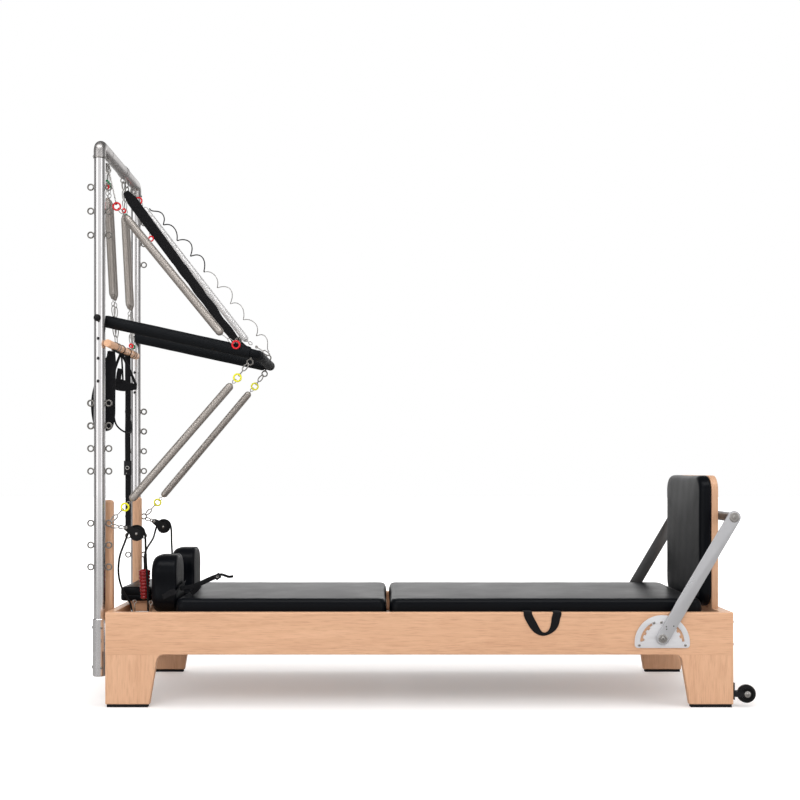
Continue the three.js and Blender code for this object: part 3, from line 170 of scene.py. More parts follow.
def roundedBox(width, height, radius, steps=4):
    # a rectangle's outline with round corners, counter-clockwise
    corner = np.linspace(0, np.pi / 2, steps + 1)
    pieces = []
    for k, (sx, sy) in enumerate([(1, 1), (-1, 1), (-1, -1), (1, -1)]):
        angle = corner + k * np.pi / 2
        centre = np.array([sx * (width / 2 - radius), sy * (height / 2 - radius)])
        pieces.append(centre + radius * np.stack([np.cos(angle), np.sin(angle)], 1))
    return np.vstack(pieces)


def revolve(name, profile, centre, axis, sides):
    # a profile of (radius, height) pairs turned about an axis through the centre
    axis = unit(axis)
    helper = np.array([1.0, 0, 0]) if abs(axis[0]) < 0.9 else np.array([0, 1.0, 0])
    side = unit(np.cross(helper, axis))
    other = np.cross(axis, side)
    profile = np.asarray(profile, float)
    angle = np.linspace(0, 2 * np.pi, sides, endpoint=False)
    spoke = np.cos(angle)[:, None] * side + np.sin(angle)[:, None] * other
    points = np.asarray(centre, float) + profile[:, None, 1:] * axis + profile[:, None, :1] * spoke[None]
    quads = gridQuads(len(profile), sides)
    return closeUp(linkMesh(name, points.reshape(-1, 3), quads))


# points nearer than this in metres count as one
weld = 2e-7


def closeUp(piece, distance=1e-6):
    # merges points that fell together at poles and turns every face outwards
    bm = bmesh.new()
    bm.from_mesh(piece.data)
    bmesh.ops.remove_doubles(bm, verts=bm.verts, dist=distance)
    bmesh.ops.dissolve_degenerate(bm, edges=bm.edges, dist=distance)
    bmesh.ops.recalc_face_normals(bm, faces=bm.faces)
    bm.to_mesh(piece.data)
    bm.free()
    return piece


def joined(name, pieces):
    # several meshes made one piece
    bm = bmesh.new()
    for piece in pieces:
        bm.from_mesh(piece.data)
    mesh = bpy.data.meshes.new(name)
    bm.to_mesh(mesh)
    bm.free()
    for piece in pieces:
        bpy.data.objects.remove(piece)
    return placed(name, mesh)


def creased(piece, degrees):
    # smooth shading that breaks at edges sharper than the angle
    bm = bmesh.new()
    bm.from_mesh(piece.data)
    limit = math.radians(degrees)
    for edge in bm.edges:
        edge.smooth = len(edge.link_faces) == 2 and edge.calc_face_angle(0) < limit
    for face in bm.faces:
        face.smooth = True
    bm.to_mesh(piece.data)
    bm.free()
    return piece


def dress(piece, material, body, slot, *replaced):
    # gives a piece its material, the body that it rides on and the nodes that it stands for
    piece.data.materials.clear()
    piece.data.materials.append(material)
    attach(piece, body)
    if replaced:
        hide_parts(*replaced)
    return piece


# Free ropes: limp braided cord, each in the CAD's own place, from the carriage over its pulley
ropeSize = {"radius": 0.004, "diameter": 0.008, "sheaveX": -1.106, "sheaveZ": 0.656, "turnRadius": 0.0315,
            "sides": 14}


def overSheave(y, start):
    # five points of the half turn over the pulley, from the start angle down to the foot side
    angle = np.linspace(start, 0, 5)
    x = ropeSize["sheaveX"] + ropeSize["turnRadius"] * np.cos(angle)
    z = ropeSize["sheaveZ"] + ropeSize["turnRadius"] * np.sin(angle)
    return np.stack([x, np.full(5, y), z], 1)


def downTo(y):
    return [(-1.071, y, 0.58), (-1.065, y, 0.47), (-1.062, y, 0.4), (-1.062, y, 0.365), (-1.062, y, 0.3399)]


nearStart = [(-1.135, -0.215, 0.3399), (-1.135, -0.215, 0.354), (-1.142, -0.213, 0.38),
             (-1.172, -0.208, 0.43),
             (-1.189, -0.205, 0.492), (-1.184, -0.21, 0.56), (-1.16, -0.228, 0.618)]
farStart = [(-1.083, -0.2175, 0.5143), (-1.083, -0.2175, 0.532), (-1.087, -0.203, 0.556),
            (-1.096, -0.13, 0.584),
            (-1.108, 0, 0.604), (-1.123, 0.12, 0.616), (-1.136, 0.205, 0.63)]
nearRoute = smoothLine(np.vstack([nearStart, overSheave(-0.25, 0.9 * np.pi), downTo(-0.25)]), 140)
farRoute = smoothLine(np.vstack([farStart, overSheave(0.25, np.pi), downTo(0.25)]), 170)


def ropePiece(name, route):
    # a circle of the rope's radius in the plane square to the route, carried along it
    tangent = unit(np.gradient(route, axis=0))
    side = unit(np.cross((0.3, 1, 0.1), tangent))
    return closedSkin(name, route[:, None] + ropeSize["radius"]
                      * spokes(side, np.cross(tangent, side), ropeSize["sides"]))


ropeNear = ropePiece("ropeNear", nearRoute)
ropeFar = ropePiece("ropeFar", farRoute)


# Shader helpers
def tone(r, g, b):
    # a colour given in screen values from 0 to 255, made linear
    c = np.array([r, g, b]) / 255
    return tuple(np.where(c <= 0.04045, c / 12.92, ((c + 0.055) / 1.055) ** 2.4)) + (1.0,)


def fill(tree, sockets, values):
    # each socket gets a link or a plain value
    for key, value in values.items():
        if isinstance(value, bpy.types.NodeSocket):
            tree.links.new(value, sockets[key])
        else:
            sockets[key].default_value = value


def put(tree, kind, inputs=None, **settings):
    made = tree.nodes.new(kind)
    for key, value in settings.items():
        setattr(made, key, value)
    fill(tree, made.inputs, inputs or {})
    return made


def shaderGroup(name, inputs, outputs):
    group = bpy.data.node_groups.new(name, "ShaderNodeTree")
    for label, kind, value in inputs:
        socket = group.interface.new_socket(label, in_out="INPUT", socket_type=kind)
        if value is not None:
            socket.default_value = value
    for label, kind in outputs:
        group.interface.new_socket(label, in_out="OUTPUT", socket_type=kind)
    return group, group.nodes.new("NodeGroupInput").outputs, group.nodes.new("NodeGroupOutput").inputs


def calc(tree, operation, a, b=0.0, clamp=False):
    return put(tree, "ShaderNodeMath", {0: a, 1: b}, operation=operation, use_clamp=clamp).outputs[0]


def times(tree, a, b):
    return calc(tree, "MULTIPLY", a, b)


def stretched(tree, vector, scale):
    return put(tree, "ShaderNodeMapping", {"Vector": vector, "Scale": scale}).outputs[0]


def noise(tree, vector, scale, detail, roughness, distortion=0.0):
    wants = {"Vector": vector, "Scale": scale, "Detail": detail, "Roughness": roughness,
             "Distortion": distortion}
    return put(tree, "ShaderNodeTexNoise", wants).outputs[0]


def spread(tree, value, low, high, toLow=0.0, toHigh=1.0):
    wants = {"Value": value, "From Min": low, "From Max": high, "To Min": toLow, "To Max": toHigh}
    return put(tree, "ShaderNodeMapRange", wants).outputs[0]


def mixed(tree, factor, first, second):
    made = put(tree, "ShaderNodeMix", data_type="RGBA")
    fill(tree, made.inputs, {0: factor, 6: first, 7: second})
    return made.outputs[2]


# Wood grain: long growth figure, fine pores and a slow change of tone, with the grain along X
def makeGrainGroup():
    group, given, out = shaderGroup(
        "woodGrain", [("Vector", "NodeSocketVector", None)],
        [("Figure", "NodeSocketFloat"), ("Pores", "NodeSocketFloat"), ("Cloud", "NodeSocketFloat")])
    at = given["Vector"]
    bend = noise(group, stretched(group, at, (1.1, 5, 5)), 1.6, 3, 0.5)
    rings = stretched(group, at, (0.55, 9, 9))
    bent = put(group, "ShaderNodeVectorMath", {0: rings, 1: bend}, operation="ADD").outputs[0]
    figure = noise(group, bent, 3.2, 6, 0.62, 0.9)
    pores = noise(group, stretched(group, at, (16, 420, 420)), 1.0, 3, 0.6)
    group.links.new(spread(group, figure, 0.34, 0.68), out["Figure"])
    group.links.new(spread(group, pores, 0.5, 0.72), out["Pores"])
    group.links.new(noise(group, stretched(group, at, (0.8, 2.4, 2.4)), 1.4, 2, 0.5), out["Cloud"])
    return group


# Leather: small round cells with soft creases between them, and slow change of shine
def makeHideGroup():
    group, given, out = shaderGroup(
        "hideGrain", [("Vector", "NodeSocketVector", None), ("Scale", "NodeSocketFloat", 620.0)],
        [("Height", "NodeSocketFloat"), ("Crease", "NodeSocketFloat"), ("Wear", "NodeSocketFloat")])
    at = given["Vector"]
    wobble = noise(group, at, 90, 2, 0.5)
    moved = put(group, "ShaderNodeVectorMath", {0: at, 1: wobble}, operation="ADD").outputs[0]
    cells = put(group, "ShaderNodeTexVoronoi", {"Vector": moved, "Scale": given["Scale"]},
                feature="DISTANCE_TO_EDGE")
    crease = spread(group, cells.outputs[0], 0.0, 0.22)
    fine = noise(group, at, 1500, 2, 0.5)
    height = calc(group, "ADD", crease, times(group, fine, 0.35))
    group.links.new(height, out["Height"])
    group.links.new(crease, out["Crease"])
    group.links.new(noise(group, at, 5.5, 4, 0.55, 0.4), out["Wear"])
    return group


# Metal: fine brush lines along X with a slow smudge over them
def makeBrushGroup():
    group, given, out = shaderGroup(
        "brushLines", [("Vector", "NodeSocketVector", None)],
        [("Lines", "NodeSocketFloat"), ("Smudge", "NodeSocketFloat")])
    at = given["Vector"]
    group.links.new(noise(group, stretched(group, at, (7, 900, 900)), 1.0, 3, 0.6), out["Lines"])
    group.links.new(noise(group, at, 9, 4, 0.55), out["Smudge"])
    return group


# Woven webbing on UV in metres: a twill of warp ribs crossed by picks
def makeWeaveGroup():
    group, given, out = shaderGroup(
        "webbingWeave", [("Vector", "NodeSocketVector", None), ("Pitch", "NodeSocketFloat", 2400.0)],
        [("Height", "NodeSocketFloat"), ("Fleck", "NodeSocketFloat")])
    split = put(group, "ShaderNodeSeparateXYZ", {0: given["Vector"]}).outputs
    along = times(group, split[0], given["Pitch"])
    across = times(group, split[1], given["Pitch"])
    ribs = calc(group, "SINE", calc(group, "ADD", across, times(group, along, 0.5)))
    picks = calc(group, "SINE", calc(group, "SUBTRACT", along, times(group, across, 0.5)))
    height = calc(group, "ADD", calc(group, "ABSOLUTE", ribs),
                  times(group, calc(group, "ABSOLUTE", picks), 0.6))
    group.links.new(height, out["Height"])
    group.links.new(noise(group, given["Vector"], 260, 3, 0.6), out["Fleck"])
    return group


# Foam, rubber and powder coat: a fine pitted surface with slow dust on it
def makePitGroup():
    group, given, out = shaderGroup(
        "pittedSkin", [("Vector", "NodeSocketVector", None), ("Scale", "NodeSocketFloat", 900.0)],
        [("Height", "NodeSocketFloat"), ("Dust", "NodeSocketFloat")])
    at = given["Vector"]
    group.links.new(noise(group, at, given["Scale"], 3, 0.6), out["Height"])
    group.links.new(noise(group, at, 14, 4, 0.6, 0.5), out["Dust"])
    return group


# Edges: light where the surface is convex and worn, darker where it is hollow
def makeEdgeGroup():
    group, given, out = shaderGroup(
        "edgeWear", [],
        [("Worn", "NodeSocketFloat"), ("Hollow", "NodeSocketFloat")])
    point = put(group, "ShaderNodeNewGeometry").outputs["Pointiness"]
    group.links.new(spread(group, point, 0.52, 0.62), out["Worn"])
    group.links.new(spread(group, point, 0.48, 0.4), out["Hollow"])
    return group


grainGroup = makeGrainGroup()
hideGroup = makeHideGroup()
brushGroup = makeBrushGroup()
weaveGroup = makeWeaveGroup()
pitGroup = makePitGroup()
edgeGroup = makeEdgeGroup()


def newMaterial(name):
    material = bpy.data.materials.new(name)
    material.use_nodes = True
    tree = material.node_tree
    shader = next(n for n in tree.nodes if n.type == "BSDF_PRINCIPLED")
    return material, tree, shader


def useGroup(tree, group, **inputs):
    made = put(tree, "ShaderNodeGroup", node_tree=group)
    fill(tree, made.inputs, inputs)
    return made.outputs


def bumped(tree, shader, height, strength, distance):
    bump = put(tree, "ShaderNodeBump", {"Height": height, "Strength": strength, "Distance": distance})
    tree.links.new(bump.outputs[0], shader.inputs["Normal"])


def turnedTo(tree, vector, axis):
    # swaps the coordinates so that the named axis takes the place of X
    split = put(tree, "ShaderNodeSeparateXYZ", {0: vector}).outputs
    order = {"x": (0, 1, 2), "y": (1, 2, 0), "z": (2, 0, 1)}[axis]
    made = put(tree, "ShaderNodeCombineXYZ", {0: split[order[0]], 1: split[order[1]], 2: split[order[2]]})
    return made.outputs[0]


woodTone = {"light": (222, 178, 143), "mid": (213, 166, 130), "dark": (184, 134, 100), "pore": (156, 106, 77)}


def woodMaterial(name, axis, shade, below=None):
    # lacquered maple; below a given height the grain turns upright, as in the legs
    material, tree, shader = newMaterial(name)
    at = put(tree, "ShaderNodeTexCoord").outputs["Object"]
    along = turnedTo(tree, at, axis)
    if below is not None:
        level = put(tree, "ShaderNodeSeparateXYZ", {0: at}).outputs[2]
        upright = calc(tree, "LESS_THAN", level, below)
        along = put(tree, "ShaderNodeMix", {0: upright, 4: along, 5: turnedTo(tree, at, "z")},
                    data_type="VECTOR").outputs[1]
    grain = useGroup(tree, grainGroup, Vector=along)
    c = {k: tone(*(np.array(v) * shade)) for k, v in woodTone.items()}
    body = mixed(tree, grain["Cloud"], c["light"], c["mid"])
    figured = mixed(tree, times(tree, grain["Figure"], 0.46), body, c["dark"])
    pored = mixed(tree, times(tree, grain["Pores"], 0.5), figured, c["pore"])
    edge = useGroup(tree, edgeGroup)
    edged = mixed(tree, times(tree, edge["Worn"], 0.35), pored, c["light"])
    if below is not None:
        seam = calc(tree, "LESS_THAN", calc(tree, "ABSOLUTE", calc(tree, "SUBTRACT", level, below)), 0.0005)
        edged = mixed(tree, times(tree, seam, 0.45), edged, c["pore"])
    tree.links.new(edged, shader.inputs["Base Color"])
    tree.links.new(spread(tree, grain["Figure"], 0, 1, 0.36, 0.48), shader.inputs["Roughness"])
    shader.inputs["Coat Weight"].default_value = 0.18
    shader.inputs["Coat Roughness"].default_value = 0.28
    bumped(tree, shader, calc(tree, "SUBTRACT", 1.0, grain["Pores"]), 0.12, 0.0004)
    return material


def leatherMaterial(name, colour, shine):
    material, tree, shader = newMaterial(name)
    at = put(tree, "ShaderNodeTexCoord").outputs["Object"]
    hide = useGroup(tree, hideGroup, Vector=at)
    base = tone(*colour)
    light = tone(*(np.array(colour) * 1.35))
    body = mixed(tree, hide["Wear"], base, light)
    edge = useGroup(tree, edgeGroup)
    worn = mixed(tree, times(tree, edge["Worn"], 0.25), body, tone(50, 52, 56))
    darker = mixed(tree, times(tree, calc(tree, "SUBTRACT", 1.0, hide["Crease"]), 0.5), worn, tone(7, 7, 8))
    tree.links.new(darker, shader.inputs["Base Color"])
    tree.links.new(spread(tree, hide["Wear"], 0.3, 0.7, shine - 0.03, shine + 0.04),
                   shader.inputs["Roughness"])
    shader.inputs["Specular IOR Level"].default_value = 0.08
    shader.inputs["Coat Weight"].default_value = 0.03
    shader.inputs["Coat Roughness"].default_value = 0.2
    bumped(tree, shader, hide["Height"], 0.14, 0.0003)
    return material


def metalMaterial(name, colour, axis, roughness, lines, metallic=1.0, edges=1.0):
    # brushed along the named axis; edges scales the wear on convex edges and the darkening in hollows
    material, tree, shader = newMaterial(name)
    at = put(tree, "ShaderNodeTexCoord").outputs["Object"]
    brush = useGroup(tree, brushGroup, Vector=turnedTo(tree, at, axis))
    base = tone(*colour)
    body = mixed(tree, times(tree, brush["Lines"], 0.35), base, tone(*(np.array(colour) * 0.86)))
    edge = useGroup(tree, edgeGroup)
    worn = mixed(tree, times(tree, edge["Worn"], 0.5 * edges), body,
                 tone(*np.minimum(np.array(colour) * 1.12, 252)))
    tree.links.new(mixed(tree, times(tree, edge["Hollow"], 0.4 * edges), worn, tone(70, 68, 66)),
                   shader.inputs["Base Color"])
    shader.inputs["Metallic"].default_value = metallic
    tree.links.new(spread(tree, brush["Smudge"], 0.3, 0.7, roughness - 0.04, roughness + 0.06),
                   shader.inputs["Roughness"])
    bumped(tree, shader, brush["Lines"], lines, 0.0002)
    return material


def pittedMaterial(name, colour, roughness, scale, strength, metallic=0.0, dust=0.3, gloss=0.2):
    material, tree, shader = newMaterial(name)
    at = put(tree, "ShaderNodeTexCoord").outputs["Object"]
    pits = useGroup(tree, pitGroup, Vector=at, Scale=scale)
    base = tone(*colour)
    pale = tone(*(np.array(colour) * 1.3 + 10))
    body = mixed(tree, times(tree, pits["Dust"], dust), base, pale)
    edge = useGroup(tree, edgeGroup)
    tree.links.new(mixed(tree, times(tree, edge["Worn"], 0.3), body, pale), shader.inputs["Base Color"])
    tree.links.new(spread(tree, pits["Dust"], 0.3, 0.7, roughness - 0.05, roughness + 0.08),
                   shader.inputs["Roughness"])
    shader.inputs["Metallic"].default_value = metallic
    shader.inputs["Specular IOR Level"].default_value = gloss
    bumped(tree, shader, pits["Height"], strength, 0.0003)
    return material


def weaveMaterial(name, colour, roughness, pitch=2400.0, strength=0.5):
    # woven on UV in metres, so the piece needs a UV map in its real size
    material, tree, shader = newMaterial(name)
    at = put(tree, "ShaderNodeTexCoord").outputs["UV"]
    weave = useGroup(tree, weaveGroup, Vector=at, Pitch=pitch)
    base = tone(*colour)
    pale = tone(*(np.array(colour) * 1.5 + 6))
    body = mixed(tree, spread(tree, weave["Height"], 0.2, 1.5), tone(*(np.array(colour) * 0.6)), base)
    tree.links.new(mixed(tree, times(tree, weave["Fleck"], 0.4), body, pale), shader.inputs["Base Color"])
    tree.links.new(spread(tree, weave["Fleck"], 0.3, 0.7, roughness - 0.06, roughness + 0.06),
                   shader.inputs["Roughness"])
    shader.inputs["Sheen Weight"].default_value = 0.03
    shader.inputs["Specular IOR Level"].default_value = 0.12
    bumped(tree, shader, weave["Height"], strength, 0.0003)
    return material


look = {
    "railWood": woodMaterial("railWood", "x", 1.0, 0.201),
    "crossWood": woodMaterial("crossWood", "y", 0.96),
    "uprightWood": woodMaterial("uprightWood", "z", 0.95),
    "dowelWood": woodMaterial("dowelWood", "y", 1.03),
    "boardWood": woodMaterial("boardWood", "x", 0.94),
    "leather": leatherMaterial("blackLeather", (7, 9, 13), 0.34),
    "tubeMetal": metalMaterial("satinAluminium", (228, 226, 227), "z", 0.22, 0.0),
    "bowMetal": metalMaterial("satinAluminiumCross", (196, 193, 192), "y", 0.36, 0.0, 1.0, 0.2),
    "plateMetal": metalMaterial("brushedPlate", (204, 202, 201), "x", 0.34, 0.04),
    "gearMetal": metalMaterial("gearPlateSteel", (226, 226, 229), "x", 0.36, 0.0, 0.55),
    "armMetal": metalMaterial("brushedArm", (200, 200, 203), "z", 0.3, 0.04, 0.75),
    # painted shade: a darker copy of the arm metal for the far footbar arm and its tube
    "armPaintedShade": metalMaterial("brushedArmPaintedShade", (104, 105, 106), "z", 0.36, 0.04, 0.8),
    "trackMetal": metalMaterial("trackAluminium", (188, 188, 190), "x", 0.36, 0.04),
    "springMetal": metalMaterial("springSteel", (186, 179, 173), "y", 0.42, 0.0, 0.85, 0.12),
    # painted highlight: a paler copy of the spring steel for the far upper spring, which shows bright
    "springBright": metalMaterial("springSteelPaintedHighlight", (236, 235, 235), "y", 0.4, 0.0, 0.7, 0.1),
    "brightMetal": metalMaterial("brightSteel", (176, 173, 170), "z", 0.2, 0.0),
    "eyeMetal": metalMaterial("screwEyeSteel", (138, 135, 131), "z", 0.3, 0.0),
    "foam": pittedMaterial("blackFoam", (12, 14, 17), 0.6, 700.0, 0.25, 0.0, 0.2, 0.14),
    "rubber": pittedMaterial("blackRubber", (15, 15, 16), 0.5, 1100.0, 0.2, 0.0, 0.2),
    "blackSteel": pittedMaterial("blackSteel", (20, 20, 22), 0.3, 1500.0, 0.08, 0.0, 0.2),
    "wheelRubber": pittedMaterial("wheelRubber", (13, 13, 14), 0.34, 900.0, 0.08),
    "webbing": weaveMaterial("blackWebbing", (17, 17, 19), 0.72),
    "rope": weaveMaterial("braidedRope", (15, 15, 16), 0.6, 1500.0, 0.8),
    "redGrip": pittedMaterial("redGrip", (122, 8, 14), 0.24, 1200.0, 0.05, 0.0, 0.1, 0.5),
    "redCoat": pittedMaterial("redCoat", (196, 18, 30), 0.3, 1500.0, 0.05, 0.0, 0.15, 0.4),
    "greenCoat": pittedMaterial("greenCoat", (16, 104, 62), 0.35, 1500.0, 0.05, 0.0, 0.15),
    "yellowCoat": pittedMaterial("yellowCoat", (214, 210, 28), 0.3, 1500.0, 0.05, 0.0, 0.15, 0.4),
}
print("materials:", len(look))

for piece in (ropeNear, ropeFar):
    piece.data.materials.append(look["rope"])
    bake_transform(piece)


# CAD nodes that keep their own shape get their material
keptShapes = {
    "railWood": ("side_frame_near", "side_frame_far"),
    "crossWood": ("head_board", "foot_board"),
    "boardWood": ("carriage_base", "mat_board"),
    "uprightWood": ("jumpboard",),
    "rubber": ("foot_pad_near_head", "foot_pad_near_foot", "foot_pad_far_head", "foot_pad_far_foot"),
    "trackMetal": ("track_frame",),
    "blackSteel": ("wheel_bracket_near", "wheel_bracket_far", "wheel_axle_head", "wheel_axle_foot"),
}
for paint, names in keptShapes.items():
    for name in names:
        for slot in nodes[name].material_slots:
            slot.material = look[paint]


# Round bars, rings and springs
def tube(name, points, radius, sides=12, closed=False, ends="flat"):
    # a round wire or tube through the points; its ring is carried along without twist, radius may vary
    path = np.asarray(points, float)
    count = len(path)
    if closed:
        tangent = unit(np.roll(path, -1, 0) - np.roll(path, 1, 0))
    else:
        tangent = unit(np.gradient(path, axis=0))
    side = np.zeros_like(path)
    start = np.array([0, 1.0, 0]) if abs(tangent[0][1]) < 0.8 else np.array([1.0, 0, 0])
    side[0] = unit(start - tangent[0] * start.dot(tangent[0]))
    for i in range(1, count):
        side[i] = unit(side[i - 1] - tangent[i] * side[i - 1].dot(tangent[i]))
    up = np.cross(tangent, side)
    size = np.broadcast_to(np.asarray(radius, float), (count,))
    if ends == "round" and not closed:
        # three shrinking rings on each end make a dome
        dome = np.array([0.35, 0.8, 0.97])
        out = np.sqrt(1 - dome**2)
        path = np.vstack([path[0] - tangent[0] * size[0] * out[:, None], path,
                          path[-1] + tangent[-1] * size[-1] * out[::-1, None]])
        side = np.vstack([np.repeat(side[:1], 3, 0), side, np.repeat(side[-1:], 3, 0)])
        up = np.vstack([np.repeat(up[:1], 3, 0), up, np.repeat(up[-1:], 3, 0)])
        size = np.concatenate([size[0] * dome, size, size[-1] * dome[::-1]])
    return closedSkin(name, path[:, None] + spokes(side, up, sides) * size[:, None, None], closed)


def ringOf(name, centre, axis, major, minor, steps=28, sides=10):
    # a ring of wire about an axis
    axis = unit(axis)
    helper = np.array([0, 0, 1.0]) if abs(axis[2]) < 0.9 else np.array([1.0, 0, 0])
    first = unit(helper - axis * helper.dot(axis))
    second = np.cross(axis, first)
    angle = np.linspace(0, 2 * np.pi, steps, endpoint=False)[:, None]
    path = np.asarray(centre, float) + major * (np.cos(angle) * first + np.sin(angle) * second)
    return tube(name, path, minor, sides, closed=True)


# the length over which a spring draws in towards its tip
coilTaper = 0.03


def spanOf(start, end):
    # both points as arrays, the distance between them and its direction
    start, end = np.asarray(start, float), np.asarray(end, float)
    length = np.linalg.norm(end - start)
    return start, end, length, (end - start) / length


def coil(name, start, end, radius, wire, pitch, steps=14):
    # a close-wound spring: a helix of wire about the line from start to end, drawn in towards each tip
    start, end, length, along = spanOf(start, end)
    helper = np.array([0, 1.0, 0]) if abs(along[1]) < 0.8 else np.array([1.0, 0, 0])
    first = unit(np.cross(helper, along))
    second = np.cross(along, first)
    turns = length / pitch
    s = np.linspace(0, 1, int(turns * steps))
    angle = 2 * np.pi * turns * s
    near = np.minimum(s, 1 - s) * length
    size = radius * (0.34 + 0.66 * np.sin(np.clip(near / coilTaper, 0, 1) * np.pi / 2))
    out = np.cos(angle)[:, None] * first + np.sin(angle)[:, None] * second
    around = -np.sin(angle)[:, None] * first + np.cos(angle)[:, None] * second
    path = start + along * (s * length)[:, None] + out * size[:, None]
    tangent = unit(around * size[:, None] + along * pitch / (2 * np.pi))
    other = np.cross(tangent, out)
    return closedSkin(name, path[:, None] + wire * spokes(out, other, 6))


def hookLink(name, start, end):
    # an open hook: a straight shank from start that opens into a narrow oval reaching the end
    start, end, length, along = spanOf(start, end)
    side = unit(np.cross((0, 1.0, 0.2), along))
    t = np.linspace(0, 2 * np.pi * 0.93, 22)
    half = min(0.016, length * 0.3)
    centre = end - along * half
    oval = centre - along * half * np.cos(t)[:, None] + side * 0.006 * np.sin(t)[:, None]
    return tube(name, np.vstack([start, start + along * (length - 2 * half) * 0.5, oval]), 0.0016, 8,
                ends="round")


def roundBolt(name, centre, axis, radius, height, socket=True):
    # a button-head bolt: a domed cap with a hexagon socket sunk in it
    rise = np.linspace(0, 1, 6)
    rim = [(radius, 0.0)] + [(radius * np.cos(a * 1.1), height * np.sin(a * 1.1) / np.sin(1.1))
                             for a in rise[1:]]
    inner = radius * 0.42
    top = rim[-1][1]
    if socket:
        rim += [(inner, top), (inner * 0.96, top - height * 0.5), (0.0, top - height * 0.55)]
    else:
        rim += [(0.0, top + height * 0.04)]
    return revolve(name, [(0.0, -0.0006), (radius, -0.0006)] + rim, centre, axis, 20)


def pieceOf(name, paint, body, slot, parts, replaced=(), sharp=38):
    # joins the parts, closes them up and dresses the piece
    whole = joined(name, parts) if len(parts) > 1 else parts[0]
    whole.name = name
    whole.data.name = name
    return dress(finished(whole, sharp), look[paint], body, slot, *replaced)


def stretchPiece(piece, paint, slot, bodies, start, end):
    # gives the piece its material and bakes its placement into its points
    piece.data.materials.clear()
    piece.data.materials.append(look[paint])
    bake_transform(piece)


def finished(piece, sharp):
    closeUp(piece, weld)
    return creased(piece, sharp)


# Tower: uprights, bow, sockets and screw eyes
tower = {"x": -1.239, "y": 0.2965, "radius": 0.022, "seam": 2.1163, "bar": 2.168,
         "eyeReach": 0.035, "eyeRadius": 0.0112, "eyeWire": 0.0029,
         "levels": (2.005, 1.912, 1.819, 1.166, 1.078, 0.99, 0.902, 0.7, 0.615, 0.53),
         "holes": (1.415, 1.338, 1.25), "pivot": 1.493}


def turned(name, profile, x, y):
    return revolve(name, profile, (x, y, 0), (0, 0, 1), 48)


def stacked(outlines):
    # flat outlines (n, 2), each laid at its own height
    return np.stack([np.column_stack([ring, np.full(len(ring), z)]) for ring, z in outlines])


def bothWays(half):
    # a profile given from its low end to its middle, mirrored to its high end
    return half + [(r, -h) for r, h in half[-2::-1]]


for side, sign in sides:
    x, y, r = tower["x"], sign * tower["y"], tower["radius"]
    wall = [(0.0, 0.1143), (r - 0.001, 0.1143), (r, 0.1153), (r, 0.6), (r, 1.4), (r, 2.114),
            (r - 0.0012, 2.1152), (0.0, 2.1152)]
    parts = [turned("wall", wall, x, y)]
    for level in tower["holes"]:
        for way in (-1, 1):
            rim = [(0.0, 0.0), (0.0072, 0.0), (0.0074, 0.0008), (0.0062, 0.0012), (0.0058, 0.0004),
                   (0.0, 0.0004)]
            parts.append(revolve("rim", rim, (x, y + way * (r - 0.0004), level), (0, way, 0), 20))
    pieceOf("upright" + side.title(), "tubeMetal", "frame", "aluminium", parts, ("upright_" + side,), 30)
    # painted shade: the pin holes are not cut; a black disc just proud of the wall stands for the shade
    # inside each hole
    darks = []
    for level in tower["holes"]:
        for way in (-1, 1):
            pinHoleShade = [(0.0, 0.0), (0.0052, 0.0), (0.0052, 0.0006), (0.0, 0.0006)]
            darks.append(revolve("pinHoleShade", pinHoleShade, (x, y + way * (r + 0.0002), level), (0, way, 0), 16))
    pieceOf("pinHoles" + side.title(), "blackSteel", "frame", "black_steel", darks)
    rings = []
    for level in tower["levels"]:
        for way in (-1, 1):
            thick = 0.0034 if level > 1.05 and level < 1.2 else tower["eyeWire"]
            centre = (x + way * tower["eyeReach"], y, level)
            rings.append(ringOf("eye", centre, (0, 1, 0), tower["eyeRadius"], thick))
            stem = [(x + way * (r - 0.002), y, level),
                    (x + way * (tower["eyeReach"] - tower["eyeRadius"]), y, level)]
            rings.append(tube("stem", stem, 0.0032, 12))
            collar = [(0.0, 0.0), (0.0056, 0.0), (0.0056, 0.0016), (0.004, 0.0022), (0.0, 0.0022)]
            rings.append(revolve("collar", collar, (x + way * (r - 0.0006), y, level), (way, 0, 0), 18))
    pieceOf("screwEyes" + side.title(), "eyeMetal", "frame", "aluminium", rings)

# the bow: one bent tube, a lip at each seam, a slip joint beside the middle eye
elbow = 0.027
quarter = np.linspace(0, np.pi / 2, 14)
nearTurn = np.stack([np.full(14, tower["x"]), -tower["y"] + elbow - elbow * np.cos(quarter),
                     tower["bar"] - elbow + elbow * np.sin(quarter)], 1)
farTurn = nearTurn[::-1] * (1, -1, 1)
footOf = lambda y: [(tower["x"], y, tower["seam"] + 0.0005), (tower["x"], y, tower["seam"] + 0.003)]
bowPath = np.vstack([footOf(-tower["y"]), nearTurn, farTurn, footOf(tower["y"])[::-1]])
bowSize = np.full(len(bowPath), 0.0232)
parts = [tube("bow", bowPath, bowSize, 40)]
for y0, y1, size in ((0.058, 0.078, 0.0252), (0.0765, 0.0785, 0.0262), (-0.18, -0.176, 0.0238)):
    run = y1 - y0
    slip = [(0.0, 0.0), (size - 0.0008, 0.0), (size, 0.0008), (size, run - 0.0008), (size - 0.0008, run),
            (0.0, run)]
    parts.append(revolve("slip", slip, (tower["x"], y0, tower["bar"]), (0, 1, 0), 40))
pieceOf("topBow", "bowMetal", "frame", "aluminium", parts, ("top_bow",), 30)
parts = []
for sign in (-1, 1):
    seam = [(0.0, 0.0), (0.0234, 0.0), (0.0244, 0.0008), (0.0244, 0.0036), (0.0234, 0.0044), (0.0, 0.0044)]
    parts.append(turned("seam", [(a, b + tower["seam"] - 0.0006) for a, b in seam], tower["x"],
                        sign * tower["y"]))
    for way in (-1, 1):
        spot = (tower["x"] + way * 0.0225, sign * tower["y"], 2.124)
        parts.append(roundBolt("bolt", spot, (way, 0, 0), 0.0052, 0.0042))
